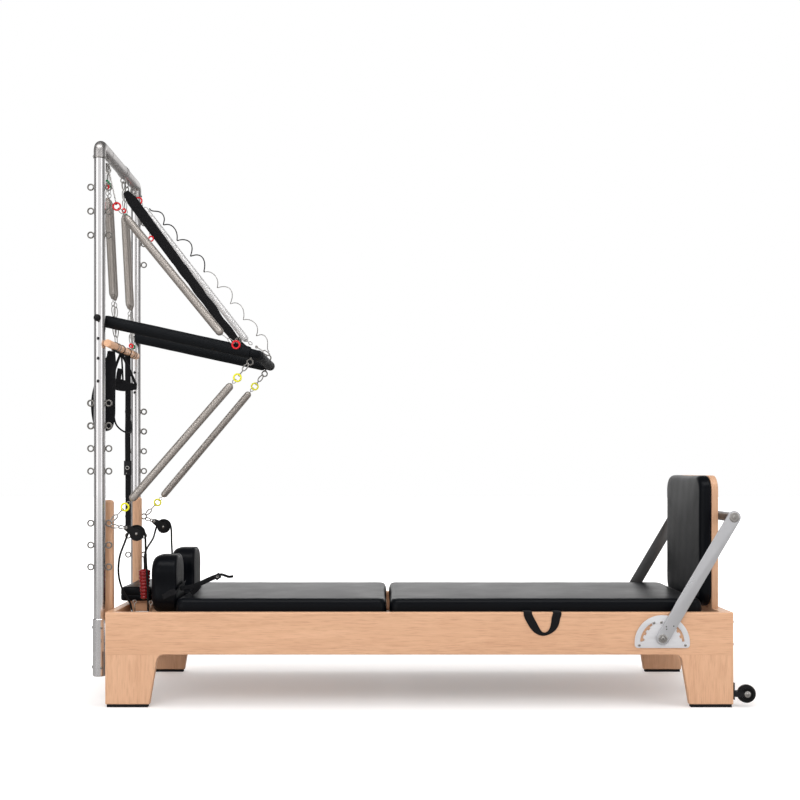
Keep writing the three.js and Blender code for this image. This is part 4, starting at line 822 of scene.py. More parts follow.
for y in (-0.1925, 0.0725, 0.2425):
    parts.append(ringOf("barEye", (tower["x"], y, 2.133), (0, 1, 0), 0.0115, 0.0026))
    parts.append(tube("barStem", [(tower["x"], y, 2.148), (tower["x"], y, 2.1435)], 0.0036, 12))
pieceOf("bowFittings", "brightMetal", "frame", "aluminium", parts)

for side, sign in sides:
    y = sign * tower["y"]
    sleeve = [(0.0, 0.108), (0.024, 0.108), (0.0263, 0.1104), (0.0263, 0.2), (0.0263, 0.3282), (0.0252, 0.33),
              (0.0222, 0.33), (0.0, 0.329)]
    parts = [turned("sleeve", sleeve, tower["x"], y)]
    plate = roundedBox(0.0158, 0.036, 0.003)
    flange = np.stack([plate[:, 0] - 1.2083, plate[:, 1] + y], 1)
    middle = flange.mean(0)
    shrunk = ((0.205, 0.94), (0.207, 1.0), (0.323, 1.0), (0.325, 0.94))
    parts.append(closedSkin("flange", stacked([(middle + (flange - middle) * k, z) for z, k in shrunk])))
    pieceOf("towerSocket" + side.title(), "tubeMetal", "frame", "aluminium", parts, ("tower_socket_" + side,),
            30)
    parts = []
    for level in (0.296, 0.142):
        parts.append(roundBolt("bolt", (tower["x"] - 0.0258, y, level), (-1, 0, 0), 0.0058, 0.0045))
        for way in (-1, 1):
            parts.append(roundBolt("bolt", (tower["x"] + 0.012, y + way * 0.0232, level), (0.46, way, 0),
                                   0.005, 0.0032))
    pieceOf("socketBolts" + side.title(), "brightMetal", "frame", "aluminium", parts)

    knob = 0.014
    fall = np.linspace(0.08, np.pi, 22)
    ball = [(knob * np.sin(a), -knob * np.cos(a)) for a in fall]
    neck = [(0.0, -0.0345), (0.0075, -0.0345), (0.0082, -0.0335), (0.0082, -0.018), (0.0062, -0.0125)]
    y0 = sign * 0.3325
    pieces = [revolve("ball", neck + ball[5:], (tower["x"], y0, tower["pivot"]), (0, sign, 0), 32)]
    pin = [(tower["x"], sign * 0.3, tower["pivot"]), (tower["x"], sign * 0.242, tower["pivot"])]
    pieces.append(tube("pin", pin, 0.0059, 16))
    pieceOf("pivotKnob" + side.title(), "blackSteel", "pivot_pin_" + side, "black_steel", pieces,
            ("pivot_knob_" + side,))
print("tower built")


# Push-through bar: arms slope down from the pivots, points given along, across and above them
bar = {"slope": math.radians(12.3), "length": 0.62, "armY": 0.25, "corner": 0.026, "tube": 0.014,
       "foam": 0.0222}


def onBar(along, y, above):
    along, y, above = np.broadcast_arrays(*(np.asarray(v, float) for v in (along, y, above)))
    x = tower["x"] + along * math.cos(bar["slope"]) + above * math.sin(bar["slope"])
    return np.stack([x, y, tower["pivot"] - along * math.sin(bar["slope"]) + above * math.cos(bar["slope"])],
                    -1)


barUp = np.array([math.sin(bar["slope"]), 0, math.cos(bar["slope"])])
turn = np.linspace(0, np.pi / 2, 10)
cx = bar["length"] - bar["corner"]
nearBend = onBar(cx + bar["corner"] * np.sin(turn),
                 bar["corner"] - bar["armY"] - bar["corner"] * np.cos(turn), 0)
farBend = nearBend[::-1] * (1, -1, 1)
barPath = np.vstack([onBar(0, -bar["armY"], 0), onBar(0.3, -bar["armY"], 0), nearBend, farBend,
                     onBar(0.3, bar["armY"], 0), onBar(0, bar["armY"], 0)])
parts = [tube("barTube", barPath, bar["tube"], 28, ends="round")]
eyes = []
for sign in (-1, 1):
    boss = [(0.0, 0.0), (0.0142, 0.0), (0.0152, 0.001), (0.0152, 0.0325), (0.0142, 0.0335), (0.0, 0.0335)]
    parts.append(revolve("boss", boss, onBar(0, sign * 0.24, 0), (0, sign, 0), 32))
    for along, way in ((0.536 if sign < 0 else 0.6, 1), (0.599, -1)):
        centre = onBar(along, sign * bar["armY"], way * 0.036)
        eyes.append(ringOf("eye", centre, (0, 1, 0), 0.0115, 0.0029))
        stem = [onBar(along, sign * bar["armY"], way * above) for above in (0.012, 0.0245)]
        eyes.append(tube("stem", stem, 0.0034, 12))
        nut = [(0.0, 0.0), (0.0062, 0.0), (0.0066, 0.0006), (0.0066, 0.0022), (0.006, 0.003), (0.0, 0.003)]
        eyes.append(revolve("washer", nut, onBar(along, sign * bar["armY"], way * 0.0205), barUp * way, 20))
pieceOf("pushBarTube", "plateMetal", "push_bar", "aluminium", parts, ("push_bar_frame",), 30)
pieceOf("pushBarEyes", "eyeMetal", "push_bar", "aluminium", eyes)

for side, sign in sides:
    # the foam's radius swells a little between its ends and draws in at each end
    s = np.linspace(0, 1, 60)
    along = 0.008 + s * (0.5915 - 0.008)
    size = bar["foam"] * 1.09 * (1 + 0.012 * np.sin(s * 9.1 + sign) * np.sin(s * 23.0))
    edge = np.minimum(s, 1 - s) * 0.5835
    size *= 0.9 + 0.1 * np.sqrt(np.clip(edge / 0.005, 0, 1))
    foam = tube("foam", onBar(along, sign * bar["armY"], 0), size, 36)
    pieceOf("armFoam" + side.title(), "foam", "push_bar", "black_foam", [foam], ("arm_sleeve_" + side,), 50)

# rubber covers the bar's corners from the foam round to the grip
covers = []
for turnPath in (nearBend, farBend):
    covers.append(tube("cover", turnPath, bar["tube"] + 0.0034, 28, ends="round"))
pieceOf("barCornerCovers", "foam", "push_bar", "black_rubber", covers)

# the grip: a rubber tube ringed by fine grooves near each end
y = np.linspace(-0.222, 0.222, 240)
fromEnd = 0.222 - np.abs(y)
grooves = 0.0011 * np.clip(np.cos(fromEnd * 2 * np.pi / 0.011), 0,
                           1) ** 6 * (fromEnd < 0.075) * (fromEnd > 0.004)
size = 0.0202 - grooves - 0.003 * np.clip(1 - fromEnd / 0.004, 0, 1)
grip = tube("grip", onBar(0.62, y, 0), size, 36)
pieceOf("pushBarGrip", "foam", "push_bar", "black_foam", [grip], ("push_bar_grip",), 60)
print("push bar built")


# Springs: close-wound bodies with hooks at both ends, colour rings on the hooks
springWire = {"radius": 0.0128, "wire": 0.00155, "pitch": 0.0031, "slantRadius": 0.0146}
dowelX = -1.2015
dowelZ = 1.396


def carabiner(name, top, foot, wire=0.0021, width=0.0062):
    # a snap hook: a long oval of wire with a straight gate across its open side
    top, foot, length, along = spanOf(top, foot)
    side = unit(np.cross((0, 1.0, 0), along)) if abs(along[1]) < 0.8 else np.array([1.0, 0, 0])
    t = np.linspace(0, 2 * np.pi, 30, endpoint=False)
    bulge = width * (1 + 0.25 * np.cos(t))
    lengthwise = along * (length / 2 - wire) * np.cos(t)[:, None]
    path = (top + foot) / 2 - lengthwise + side * (bulge * np.sin(t))[:, None]
    return tube(name, path, wire, 8, closed=True)


hangTop = 2.1255
for pair, eyeY in (("near", -0.1925), ("far", 0.0725)):
    for side, sign in (("a", -1), ("b", 1)):
        axisY = eyeY + sign * 0.017
        lean = lambda z: tower["x"] + (dowelX - tower["x"]) * (hangTop - z) / (hangTop - 1.411)
        at = lambda z, y: np.array([lean(z), y, z])
        beside = eyeY + sign * 0.005
        r = springWire["radius"]
        core = resample([at(1.965, axisY), at(1.606, axisY)], 12)
        parts = [coil("body", at(1.986, axisY), at(1.585, axisY), r, springWire["wire"], springWire["pitch"]),
                 tube("core", core, r + 0.0007, 20, ends="round")]
        name = "hangingSpring" + pair.title() + side.upper()
        pieceOf(name, "springMetal", "roll_down", "spring_steel", parts,
                ("hanging_spring_%s_%s" % (pair, side),), 80)
        hooks = [carabiner("snap", at(2.129, beside), at(2.086, beside + sign * 0.004)),
                 carabiner("snap", at(2.09, beside + sign * 0.005), at(2.043, axisY - sign * 0.002), 0.0019,
                           0.005),
                 carabiner("snap", at(2.047, axisY - sign * 0.001), at(2.008, axisY), 0.0017, 0.0048),
                 hookLink("hook", at(1.984, axisY), at(2.013, axisY)),
                 hookLink("hook", at(1.587, axisY), at(1.556, axisY)),
                 carabiner("snap", at(1.561, axisY), at(1.512, axisY), 0.0021, 0.0066),
                 tube("shank", [at(1.515, axisY), at(1.478, axisY)], 0.0019, 10),
                 carabiner("snap", at(1.481, axisY), at(1.434, axisY), 0.0021, 0.0062)]
        # the last link turns under the dowel in a bracket
        hooks.append(ringOf("bracket", (dowelX, axisY, dowelZ), (0, 1, 0), 0.0166, 0.0016, 32, 8))
        hooks.append(tube("bracketStem", [(dowelX, axisY, 1.413), at(1.437, axisY)], 0.0019, 10))
        pieceOf(name + "Hooks", "brightMetal", "roll_down", "spring_steel", hooks)
        marks = {("near", "a"): ((2.047, "greenCoat"), (2.03, "redCoat")),
                 ("near", "b"): ((2.045, "greenCoat"),),
                 ("far", "a"): ((2.0, "redCoat"), (1.43, "redCoat")),
                 ("far", "b"): ((1.985, "greenCoat"), (1.43, "greenCoat"))}
        for k, (level, shade) in enumerate(marks[(pair, side)]):
            mark = ringOf("mark", at(level, axisY), (0.3, 0.9, 0.2), 0.0078, 0.0034, 24, 10)
            pieceOf("%sMark%d" % (name, k + 1), shade, "roll_down", "spring_steel", [mark])


def slantSpring(name, node, upper, lower, joint, shade, radius, ringBoth, paint="springMetal"):
    # upper and lower are (eye, ring, body end) triples
    (hookA, ringA, bodyA), (hookB, ringB, bodyB) = (tuple(np.asarray(p, float) for p in pair)
                                                    for pair in (upper, lower))
    body = coil("body", bodyA, bodyB, radius, springWire["wire"], springWire["pitch"])
    core = resample([bodyA + 0.02 * (bodyB - bodyA), bodyB + 0.02 * (bodyA - bodyB)], 70)
    parts = [body, tube("core", core, radius + 0.0008, 24, ends="round")]
    spring = finished(joined(name, parts), 80)
    hooks, marks = [], []
    for hook, ringAt, tip in ((hookA, ringA, bodyA), (hookB, ringB, bodyB)):
        way = unit(ringAt - tip)
        hooks.append(hookLink("hook", tip - way * 0.004, ringAt - way * 0.009))
        run = hook - ringAt
        length = np.linalg.norm(run)
        way = run / length
        if length > 0.05:
            hooks.append(tube("shank", [ringAt + way * 0.012, ringAt + way * (length - 0.03)], 0.0024, 10))
            hooks.append(carabiner("snap", ringAt + way * (length - 0.034), hook + way * 0.006, 0.0026,
                                   0.007))
            hooks.append(ringOf("shankEye", ringAt + way * 0.014, (0.2, 0.95, 0.1), 0.005, 0.002, 20, 8))
        elif length > 0.012:
            hooks.append(carabiner("snap", ringAt + way * 0.008, hook + way * 0.004, 0.0026, 0.006))
        if ringBoth or not marks:
            marks.append(ringOf("mark", ringAt, (0, 1, 0), 0.0142, 0.0036, 32, 12))
    metal = finished(joined(name + "Hooks", hooks), 80)
    colours = closeUp(joined(name + "Rings", marks), weld)
    for piece, finish in ((spring, paint), (metal, "brightMetal"), (colours, shade)):
        stretchPiece(piece, finish, "spring_steel", ("frame", "push_bar"), *joint)
    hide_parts(node)


for side, sign in sides:
    topY = -0.1925 if sign < 0 else 0.2425
    topEye = np.array([tower["x"] + 0.004, topY, 2.1195])
    if sign < 0:
        # the near spring hangs a little in front of the bar, its foot ring over the foam
        barTop = onBar(0.536, -0.25, 0.05)
        bodyTop, bodyFoot = np.array([-1.1652, topY, 1.9157]), np.array([-0.771, -0.268, 1.4386])
        ringTop, ringFoot = np.array([-1.1893, -0.232, 1.9465]), np.array([-0.7127, -0.278, 1.3954])
    else:
        barTop = onBar(0.6, 0.25, 0.0505)
        bodyTop, bodyFoot = np.array([-1.194, topY, 2.061]), np.array([-0.738, 0.25, 1.4735])
        ringTop = bodyTop + unit(topEye - bodyTop) * 0.036
        ringFoot = bodyFoot + unit(barTop - bodyFoot) * 0.034
    spots = (topEye, ringTop, bodyTop), (barTop, ringFoot, bodyFoot)
    # painted highlight: the far upper spring takes the paler copy of the spring steel
    held, thicker, paint = (0.3, 0.0006, "springMetal") if sign < 0 else (0.0, -0.0008, "springBright")
    joint = ((topEye + held * (barTop - topEye)).tolist(), barTop.tolist())
    slantSpring("upperSpring" + side.title(), "upper_spring_" + side, *spots, joint, "redCoat",
                springWire["slantRadius"] + thicker, sign < 0, paint)
    barFoot = onBar(0.592, sign * 0.25, -0.0455)
    postEye = np.array([-1.1935, sign * 0.2965, 0.709])
    climb = unit(barFoot - postEye)
    offset = np.array([0.004, 0, -0.002])
    lowEnd, highEnd = (postEye + climb * 0.109 + offset,
                       barFoot - climb * (0.104 if sign < 0 else 0.096) + offset)
    slantSpring("lowerSpring" + side.title(), "lower_spring_" + side,
                (postEye, lowEnd - climb * 0.036, lowEnd),
                (barFoot, highEnd + climb * 0.036, highEnd), (postEye.tolist(), barFoot.tolist()),
                "yellowCoat", 0.0146 if sign < 0 else 0.014, True)
print("springs built")


# Carriage springs under the bed, side by side on one hook bar
parts, hooks = [], []
for y in (-0.15, -0.05, 0.05, 0.15):
    parts.append(coil("coil", (-0.135, y, 0.2855), (0.585, y, 0.2855), 0.0118, 0.0014, 0.0034, 12))
    parts.append(tube("core", [(-0.13, y, 0.2855), (0.58, y, 0.2855)], 0.0098, 12))
    for tip, end in ((-0.133, -0.152), (0.583, 0.6)):
        hooks.append(tube("hook", [(tip, y, 0.2855), (end, y, 0.2855)], 0.0024, 8, ends="round"))
outline = roundedBox(0.016, 0.026, 0.003) + (-0.154, 0.3057)
rings = stacked([(outline, y) for y in (-0.17, 0.17)])[..., [0, 2, 1]]
hooks.append(closedSkin("hookBar", rings))
for name, made, paint in (("carriageSprings", parts, "springMetal"),
                          ("carriageSpringHooks", hooks, "brightMetal")):
    whole = finished(joined(name, made), 70)
    stretchPiece(whole, paint, "spring_steel", ("carriage", "frame"), (-0.13, 0, 0.285), (0.59, 0, 0.285))
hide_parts("carriage_spring_set")
print("carriage springs built")


# Roll-down bar: a turned dowel with eased ends
half = 0.2345
profile = bothWays([(0.0, -half), (0.0118, -half), (0.0138, -half + 0.0012), (0.015, -half + 0.004),
                    (0.015, 0.0)])
dowel = revolve("dowel", profile, (dowelX, -0.093, dowelZ), (0, 1, 0), 40)
pieceOf("rollDownBar", "dowelWood", "roll_down", "maple", [dowel], ("roll_down_bar",), 30)


# Straps as flat bands: a centre line, the direction their face looks, width and thickness
def bandAlong(name, points, face, width, thickness=0.0024, count=None, ripple=0.0):
    # a flat band: its section is a slim rounded rectangle, wide across the line and thin along the face
    path = resample(points, count) if count else np.asarray(points, float)
    tangent = unit(np.gradient(path, axis=0))
    face = np.broadcast_to(np.asarray(face, float), path.shape)
    across = unit(np.cross(tangent, face))
    normal = np.cross(across, tangent)
    s = np.linspace(0, 1, len(path))
    if ripple:
        path = path + normal * (ripple * np.sin(s * 27 + 1.3) * np.sin(s * 11))[:, None]
    section = roundedBox(1.0, 1.0, 0.3, 3)
    width, thickness = (np.broadcast_to(np.asarray(v, float), (len(path),))[:, None, None]
                        for v in (width, thickness))
    rings = (path[:, None] + across[:, None] * (section[None, :, :1] * width)
             + normal[:, None] * (section[None, :, 1:] * thickness))
    return closedSkin(name, rings)


def smoothBand(name, points, face, width, thickness=0.0024, count=60, ripple=0.0):
    return bandAlong(name, smoothLine(points, count), face, width, thickness, None, ripple)


# straps left hanging on the dowel: a wide loop, a stirrup, a long strap with its buckle, and a wrap
parts = []
loopSide = [(-1.207, 1.374), (-1.2085, 1.33), (-1.2115, 1.26), (-1.2125, 1.18), (-1.214, 1.115),
            (-1.224, 1.079), (-1.245, 1.067), (-1.267, 1.083),
            (-1.279, 1.13), (-1.279, 1.19), (-1.268, 1.24), (-1.246, 1.3), (-1.222, 1.346), (-1.208, 1.374)]
loopLine = smoothLine([(x, -0.247, z) for x, z in loopSide], 130)
# the loop is padded where it hangs down beside the upright, and a bare band behind it
padSpan = np.clip((0.55 - np.abs(np.linspace(0, 1, 130) - 0.09) * 1.35) * 14, 0, 1)
padSpan = padSpan * padSpan * (3 - 2 * padSpan)
loopWide = 0.0125 + 0.0295 * padSpan * (0.55 + 0.45 * np.clip(np.linspace(0, 1, 130) / 0.08, 0, 1))
parts.append(bandAlong("loop", loopLine, (0, 1, 0), loopWide, 0.0044 + 0.006 * padSpan))
parts.append(tube("loopCord",
                  smoothLine([(-1.199, -0.247, 1.13), (-1.19, -0.244, 1.088), (-1.176, -0.22, 1.066),
                              (-1.158, -0.16, 1.055), (-1.168, -0.08, 1.075), (-1.186, -0.02, 1.11)], 40),
                  0.0034, 8, ends="round"))
parts.append(smoothBand("long", [(-1.2005, -0.011, 1.382), (-1.199, -0.011, 1.2), (-1.2, -0.011, 1.0),
                                 (-1.1985, -0.011, 0.84), (-1.1985, -0.011, 0.668)],
                        (0, 1, 0), 0.0235, 0.003, 90, 0.0012))
fold = resample([(-1.1995, -0.0085, 0.702), (-1.1995, -0.0072, 0.76)], 8)
parts.append(bandAlong("longFold", fold, (0, 1, 0), 0.0225, 0.002))
# the stirrup: two thin cords down to a wide padded handle, with a tab up its middle
left, right, high, low = -1.249, -1.1385, 1.3795, 1.2475
parts.append(tube("cordLeft",
                  smoothLine([(-1.2035, -0.115, high), (-1.222, -0.116, 1.33), (left + 0.004, -0.1155, low)],
                             20), 0.0052, 10))
parts.append(tube("cordRight",
                  smoothLine([(-1.1995, -0.115, high), (-1.17, -0.1145, 1.318),
                              (right - 0.003, -0.115, low + 0.004)], 20), 0.0055, 10))
parts.append(tube("cordMiddle",
                  smoothLine([(-1.2015, -0.112, high), (-1.198, -0.11, 1.32), (-1.195, -0.112, 1.268)],
                             16), 0.0036, 10))
parts.append(smoothBand("handle",
                        [(left, -0.115, low + 0.008), (-1.217, -0.115, low + 0.006),
                         (-1.175, -0.115, low - 0.002), (right, -0.115, low - 0.004)],
                        (0, 1, 0), [0.022 + 0.026 * math.sin((k / 39) ** 0.7 * math.pi) ** 1.2
                                    for k in range(40)], 0.0066, 40))
parts.append(smoothBand("tab", [(-1.213, -0.1195, 1.262), (-1.208, -0.1205, 1.3), (-1.2045, -0.119, 1.318)],
                        (0, 1, 0), 0.021, 0.0024, 14))
# wraps of cord round the dowel that carry the straps
for y in (-0.115, -0.0125):
    parts.append(ringOf("wrap", (dowelX, y, dowelZ), (0, 1, 0), 0.0168, 0.0017, 28, 8))
parts.append(bandAlong("under", resample([(-1.2015, -0.247, 1.3785), (-1.2015, -0.115, 1.3765),
                                          (-1.2015, -0.011, 1.3785)], 40), (0, 0, 1), 0.014, 0.0026))
pieceOf("hangingStraps", "webbing", "roll_down", "black_webbing", parts, ("hanging_straps",), 60)
buckle = [smoothBand("buckle",
                     [(-1.1995, -0.0155, 0.945), (-1.1995, -0.016, 0.915),
                      (-1.1995, -0.0155, 0.885)], (0, 1, 0), 0.031, 0.0044, 12)]
pieceOf("strapBuckle", "blackSteel", "roll_down", "black_steel", buckle)
pieceOf("strapGrommet", "brightMetal", "roll_down", "spring_steel",
        [ringOf("grommet", (-1.1995, -0.0205, 0.915), (0, 1, 0), 0.0068, 0.0022),
         roundBolt("stud", (-1.2045, -0.0182, 0.892), (0, -1, 0), 0.0026, 0.0014, False)])

# safety strap: a padded sleeve from the crossbar's middle eye down to the grip, a cord inside it
gripAxis = onBar(0.62, 0, 0)
bandTop = np.array([-1.213, 0.005, 2.066])
down = unit(np.array([gripAxis[0] - bandTop[0], 0, gripAxis[2] - bandTop[2]]))
bandFoot = np.array([gripAxis[0], 0.005, gripAxis[2]]) - down * 0.0212
count = 150
s = np.linspace(0, 1, count)
line = bandTop + (bandFoot - bandTop) * s[:, None]
flat = np.array([-down[2], 0, down[0]])
# the sleeve narrows from 46 mm to 33 mm, is gathered at the top and waves a little where its padding ends
hang = 0.046 * s * np.clip((1 - s) / 0.13, 0.25, 1) ** 0.6
line = line + flat * (hang * (-1 if flat[0] > 0 else 1) + 0.0022 * np.sin(s * 40)
                      * np.clip((s - 0.45) * 3, 0, 1))[:, None]
wide = (0.046 - 0.013 * s) * (0.55 + 0.45 * np.clip(s / 0.05, 0, 1)) * (1 + 0.05 * np.sin(s * 58) * (s > 0.4))
strap = bandAlong("safetyStrap", line, (0, 1, 0), wide, 0.0072)
metal = [tube("ringWire",
              smoothLine([(-1.112, 0.001, 1.897), (-1.11, -0.008, 1.888), (-1.108, -0.012, 1.876)],
                         10), 0.0018, 8),
         carabiner("snap", (-1.2225, 0.0725, 2.134), (-1.2185, 0.045, 2.092), 0.0024, 0.0072),
         carabiner("snap", (-1.219, 0.05, 2.1), bandTop + down * 0.012, 0.0022, 0.0066)]
finished(strap, 50)
snaps = closeUp(joined("safetySnaps", metal), weld)
spare = ringOf("spareRing", (-1.1035, -0.012, 1.8673), (0.15, 1, 0), 0.0098, 0.003, 28, 10)
for piece, paint in ((strap, "webbing"), (snaps, "brightMetal"), (spare, "redCoat")):
    slot = "black_webbing" if paint == "webbing" else "spring_steel"
    stretchPiece(piece, paint, slot, ("frame", "push_bar"), bandTop.tolist(), bandFoot.tolist())
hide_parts("safety_strap")
print("straps built")


# Cushions: rings of one rounded outline, its sides drawn in between the corners, stacked over the thickness
def outlineOf(halfX, halfY, corner, drawIn, count):
    # a rounded rectangle traced at even steps; each side dips inwards by a cosine between its corners
    corner = min(corner, halfX, halfY)
    straightX, straightY = halfX - corner, halfY - corner
    arc = corner * np.pi / 2
    lengths = np.array([2 * straightY, arc, 2 * straightX, arc, 2 * straightY, arc, 2 * straightX, arc])
    ends = np.concatenate([[0], np.cumsum(lengths)])
    at = np.linspace(0, ends[-1], count, endpoint=False)
    k = np.clip(np.searchsorted(ends, at, side="right") - 1, 0, 7)
    f = (at - ends[k]) / np.maximum(lengths[k], 1e-9)
    quarter = k // 2
    signX = np.array([1, -1, -1, 1])
    signY = np.array([1, 1, -1, -1])
    turn = (quarter + f) * np.pi / 2
    arcX = signX[quarter] * straightX + corner * np.cos(turn)
    arcY = signY[quarter] * straightY + corner * np.sin(turn)
    dip = drawIn * 0.5 * (1 - np.cos(2 * np.pi * f))
    on = [k == 0, k == 2, k == 4, k == 6]
    back = 1 - 2 * f
    sideX = np.select(on, [halfX - dip, straightX * back, -halfX + dip, -straightX * back])
    sideY = np.select(on, [-straightY * back, halfY - dip, straightY * back, -halfY + dip])
    odd = k % 2 == 1
    return np.stack([np.where(odd, arcX, sideX), np.where(odd, arcY, sideY)], 1)


def cushionRings(size, count):
    # the profile climbs from the flat base over the eased edge, the side with its seam and the rounded
    # shoulder, then runs in over the crowned top; each step is (inset, height, scale towards the middle)
    halfX, halfY = size["length"] / 2, size["width"] / 2
    high, ease = size["height"] - size["crown"], size["ease"]
    # the foot of the side is eased by less than half of what the shoulder is
    footEase = ease * 0.45
    steps = [(footEase, 0.0, scale) for scale in (0.0, 0.5, 1.0)]
    a = np.linspace(0, np.pi / 2, 5)[1:]
    steps += [(footEase * (1 - np.sin(v)), footEase * (1 - np.cos(v)), 1.0) for v in a]
    seam = size.get("seam")
    drop = size.get("drop", ease)
    top = high - drop
    if seam:
        level = seam * high
        steps += [(-0.0004, level - 0.006, 1.0), (0.0001, level - 0.0018, 1.0), (0.0014, level, 1.0),
                  (0.0001, level + 0.0018, 1.0), (-0.0004, level + 0.006, 1.0)]
    else:
        steps.append((0.0, top * 0.55, 1.0))
    a = np.linspace(0, np.pi / 2, 9)
    steps += [(ease * (1 - np.cos(v)), top + drop * np.sin(v), 1.0) for v in a]
    welt = size.get("welt", 0.0)
    if welt:
        steps += [(ease + 0.002, high - welt, 1.0), (ease + 0.004, high - welt, 1.0),
                  (ease + 0.0065, high + 0.0004, 1.0)]
    inner = ease + (0.0065 if welt else 0.0)
    for s in np.linspace(1, 0, 26)[1:]:
        steps.append((inner, high + size["crown"] * (1 - s**2) ** 0.8, s))
    corner, drawIn = size["corner"], size["drawIn"]
    return stacked([(outlineOf(halfX - inset, halfY - inset, corner - inset * 0.6, drawIn, count) * scale,
                     level)
                    for inset, level, scale in steps])


def softened(points, high, amount, seed):
    # shallow dimples: three crossed waves of unlike lengths, strongest on the crowned side
    phase = seed * 1.7
    x, y, z = points[..., 0], points[..., 1], points[..., 2]
    wave = (np.sin(x * 23 + phase) * np.sin(y * 19 - phase) + 0.6 * np.sin(x * 51 - y * 37 + phase)
            + 0.4 * np.sin(x * 13 + y * 71 + 2 * phase))
    lift = np.clip(z / high, 0, 1) ** 2
    moved = points.copy()
    moved[..., 2] = z + amount * wave * lift * 0.5
    return moved


def cushion(name, size, turn, place, seed, count=240):
    # turn maps the pad's own length, width and height directions onto the room's
    rings = softened(cushionRings(size, count), size["height"], size["dimple"], seed)
    world = rings @ np.asarray(turn, float) + np.asarray(place, float)
    piece = linkMesh(name, world.reshape(-1, 3), gridQuads(len(world), count))
    return creased(closeUp(piece), 60)


upright = [[1, 0, 0], [0, 1, 0], [0, 0, 1]]
facingFoot = [[0, 0, 1], [0, 1, 0], [-1, 0, 0]]


def finishPad(piece, body, node):
    dress(piece, look["leather"], body, "black_leather", *((node,) if node else ()))


bedPad = {"width": 0.6405, "height": 0.0718, "crown": 0.005, "ease": 0.0165, "drop": 0.034, "corner": 0.034,
          "drawIn": 0.003,
          "welt": 0.0012, "dimple": 0.00035}
main = cushion("carriagePad", dict(bedPad, length=0.8195), upright, (-0.535, 0, 0.3402), 1.0, 360)
tongue = cushion("tonguePad", dict(bedPad, length=0.156, width=0.2, dimple=0.0004), upright,
                 (-0.9675, 0, 0.3402), 2.0)
carriagePad = joined("carriageCushion", [main, tongue])
creased(carriagePad, 60)
finishPad(carriagePad, "carriage", "carriage_cushion")
matPad = cushion("matCushion", dict(bedPad, length=1.2135), upright, (0.493, 0, 0.3402), 3.0, 420)
finishPad(matPad, "mat", "mat_cushion")

restPad = {"length": 0.2315, "width": 0.1695, "height": 0.1035, "crown": 0.003, "ease": 0.026, "drop": 0.04,
           "corner": 0.066,
           "drawIn": 0.003, "dimple": 0.00035}
for side, sign in sides:
    restY, restZ = sign * 0.1925, 0.4562
    rest = cushion("shoulderRest" + side.title(), restPad, facingFoot, (-0.947, restY, restZ), 4.0 + sign)
    finishPad(rest, "carriage", "shoulder_rest_" + side)
    # a sewn seam stands a millimetre proud round each rest, where the front cover meets the side band
    rim = outlineOf(restPad["length"] / 2 - 0.0022, restPad["width"] / 2 - 0.0022, 0.064, 0.003, 160)
    seam = np.column_stack([np.full(160, -0.9785), rim[:, 1] + restY, rim[:, 0] + restZ])
    cord = tube("shoulderPiping" + side.title(), seam, 0.0024, 8, closed=True)
    finishPad(cord, "carriage", None)

headPad = {"length": 0.1258, "width": 0.3295, "height": 0.0595, "crown": 0.003, "ease": 0.016,
           "corner": 0.028,
           "drawIn": 0.003, "seam": 0.42, "dimple": 0.0005}
headrest = cushion("headrestPad", headPad, upright, (-1.133, 0, 0.3808), 6.0)
finishPad(headrest, "headrest", "headrest")
boardPad = {"length": 0.5185, "width": 0.4995, "height": 0.0478, "crown": 0.003, "ease": 0.017, "drop": 0.026,
            "corner": 0.062,
            "drawIn": 0.002, "dimple": 0.0006}
jumpPad = cushion("jumpboardPad", boardPad, facingFoot, (1.1525, 0, 0.62565), 7.0, 320)
finishPad(jumpPad, "jumpboard", "jumpboard_pad")
print("cushions built")


# Footbar: capsule arms with an eased rim, a tube between them, bolts and the latch pins
foot = {"pivot": (0.926, 0.265), "length": 0.535, "lean": math.acos((1.1975 - 0.926) / 0.535), "in": 0.3748,
        "out": 0.3828}


def flatPlate(name, outline, y0, y1, ease, holes=()):
    # an outline in X-Z given thickness along Y through a filled curve, holes cut out of it
    data = bpy.data.curves.new(name, "CURVE")
    data.dimensions = "2D"
    data.fill_mode = "BOTH"
    data.extrude = max(abs(y1 - y0) / 2 - ease, 1e-5)
    data.bevel_depth = ease
    data.bevel_resolution = 2
    data.offset = -ease
    for ring in [outline, *holes]:
        spline = data.splines.new("POLY")
        spline.points.add(len(ring) - 1)
        flat = np.zeros((len(ring), 4), np.float32)
        flat[:, :2] = ring
        flat[:, 3] = 1
        spline.points.foreach_set("co", flat.ravel())
        spline.use_cyclic_u = True
    holder = placed(name, data)
    graph = bpy.context.evaluated_depsgraph_get()
    mesh = bpy.data.meshes.new_from_object(holder.evaluated_get(graph), depsgraph=graph)
    bpy.data.objects.remove(holder)
    points = np.empty(len(mesh.vertices) * 3, np.float32)
    mesh.vertices.foreach_get("co", points)
    points = points.reshape(-1, 3)
    standing = np.stack([points[:, 0], (y0 + y1) / 2 + points[:, 2], points[:, 1]], 1)
    mesh.vertices.foreach_set("co", standing.ravel())
    plate = placed(name, mesh)
    closeUp(plate)
    # the two broad faces shade flat, the eased rim smooth
    normals = np.empty(len(plate.data.polygons) * 3, np.float32)
    plate.data.polygons.foreach_get("normal", normals)
    broad = np.abs(normals[1::3]) > 0.999
    plate.data.polygons.foreach_set("use_smooth", ~broad)
    return plate


def around(angle):
    # points of a unit circle
    return np.stack([np.cos(angle), np.sin(angle)], 1)


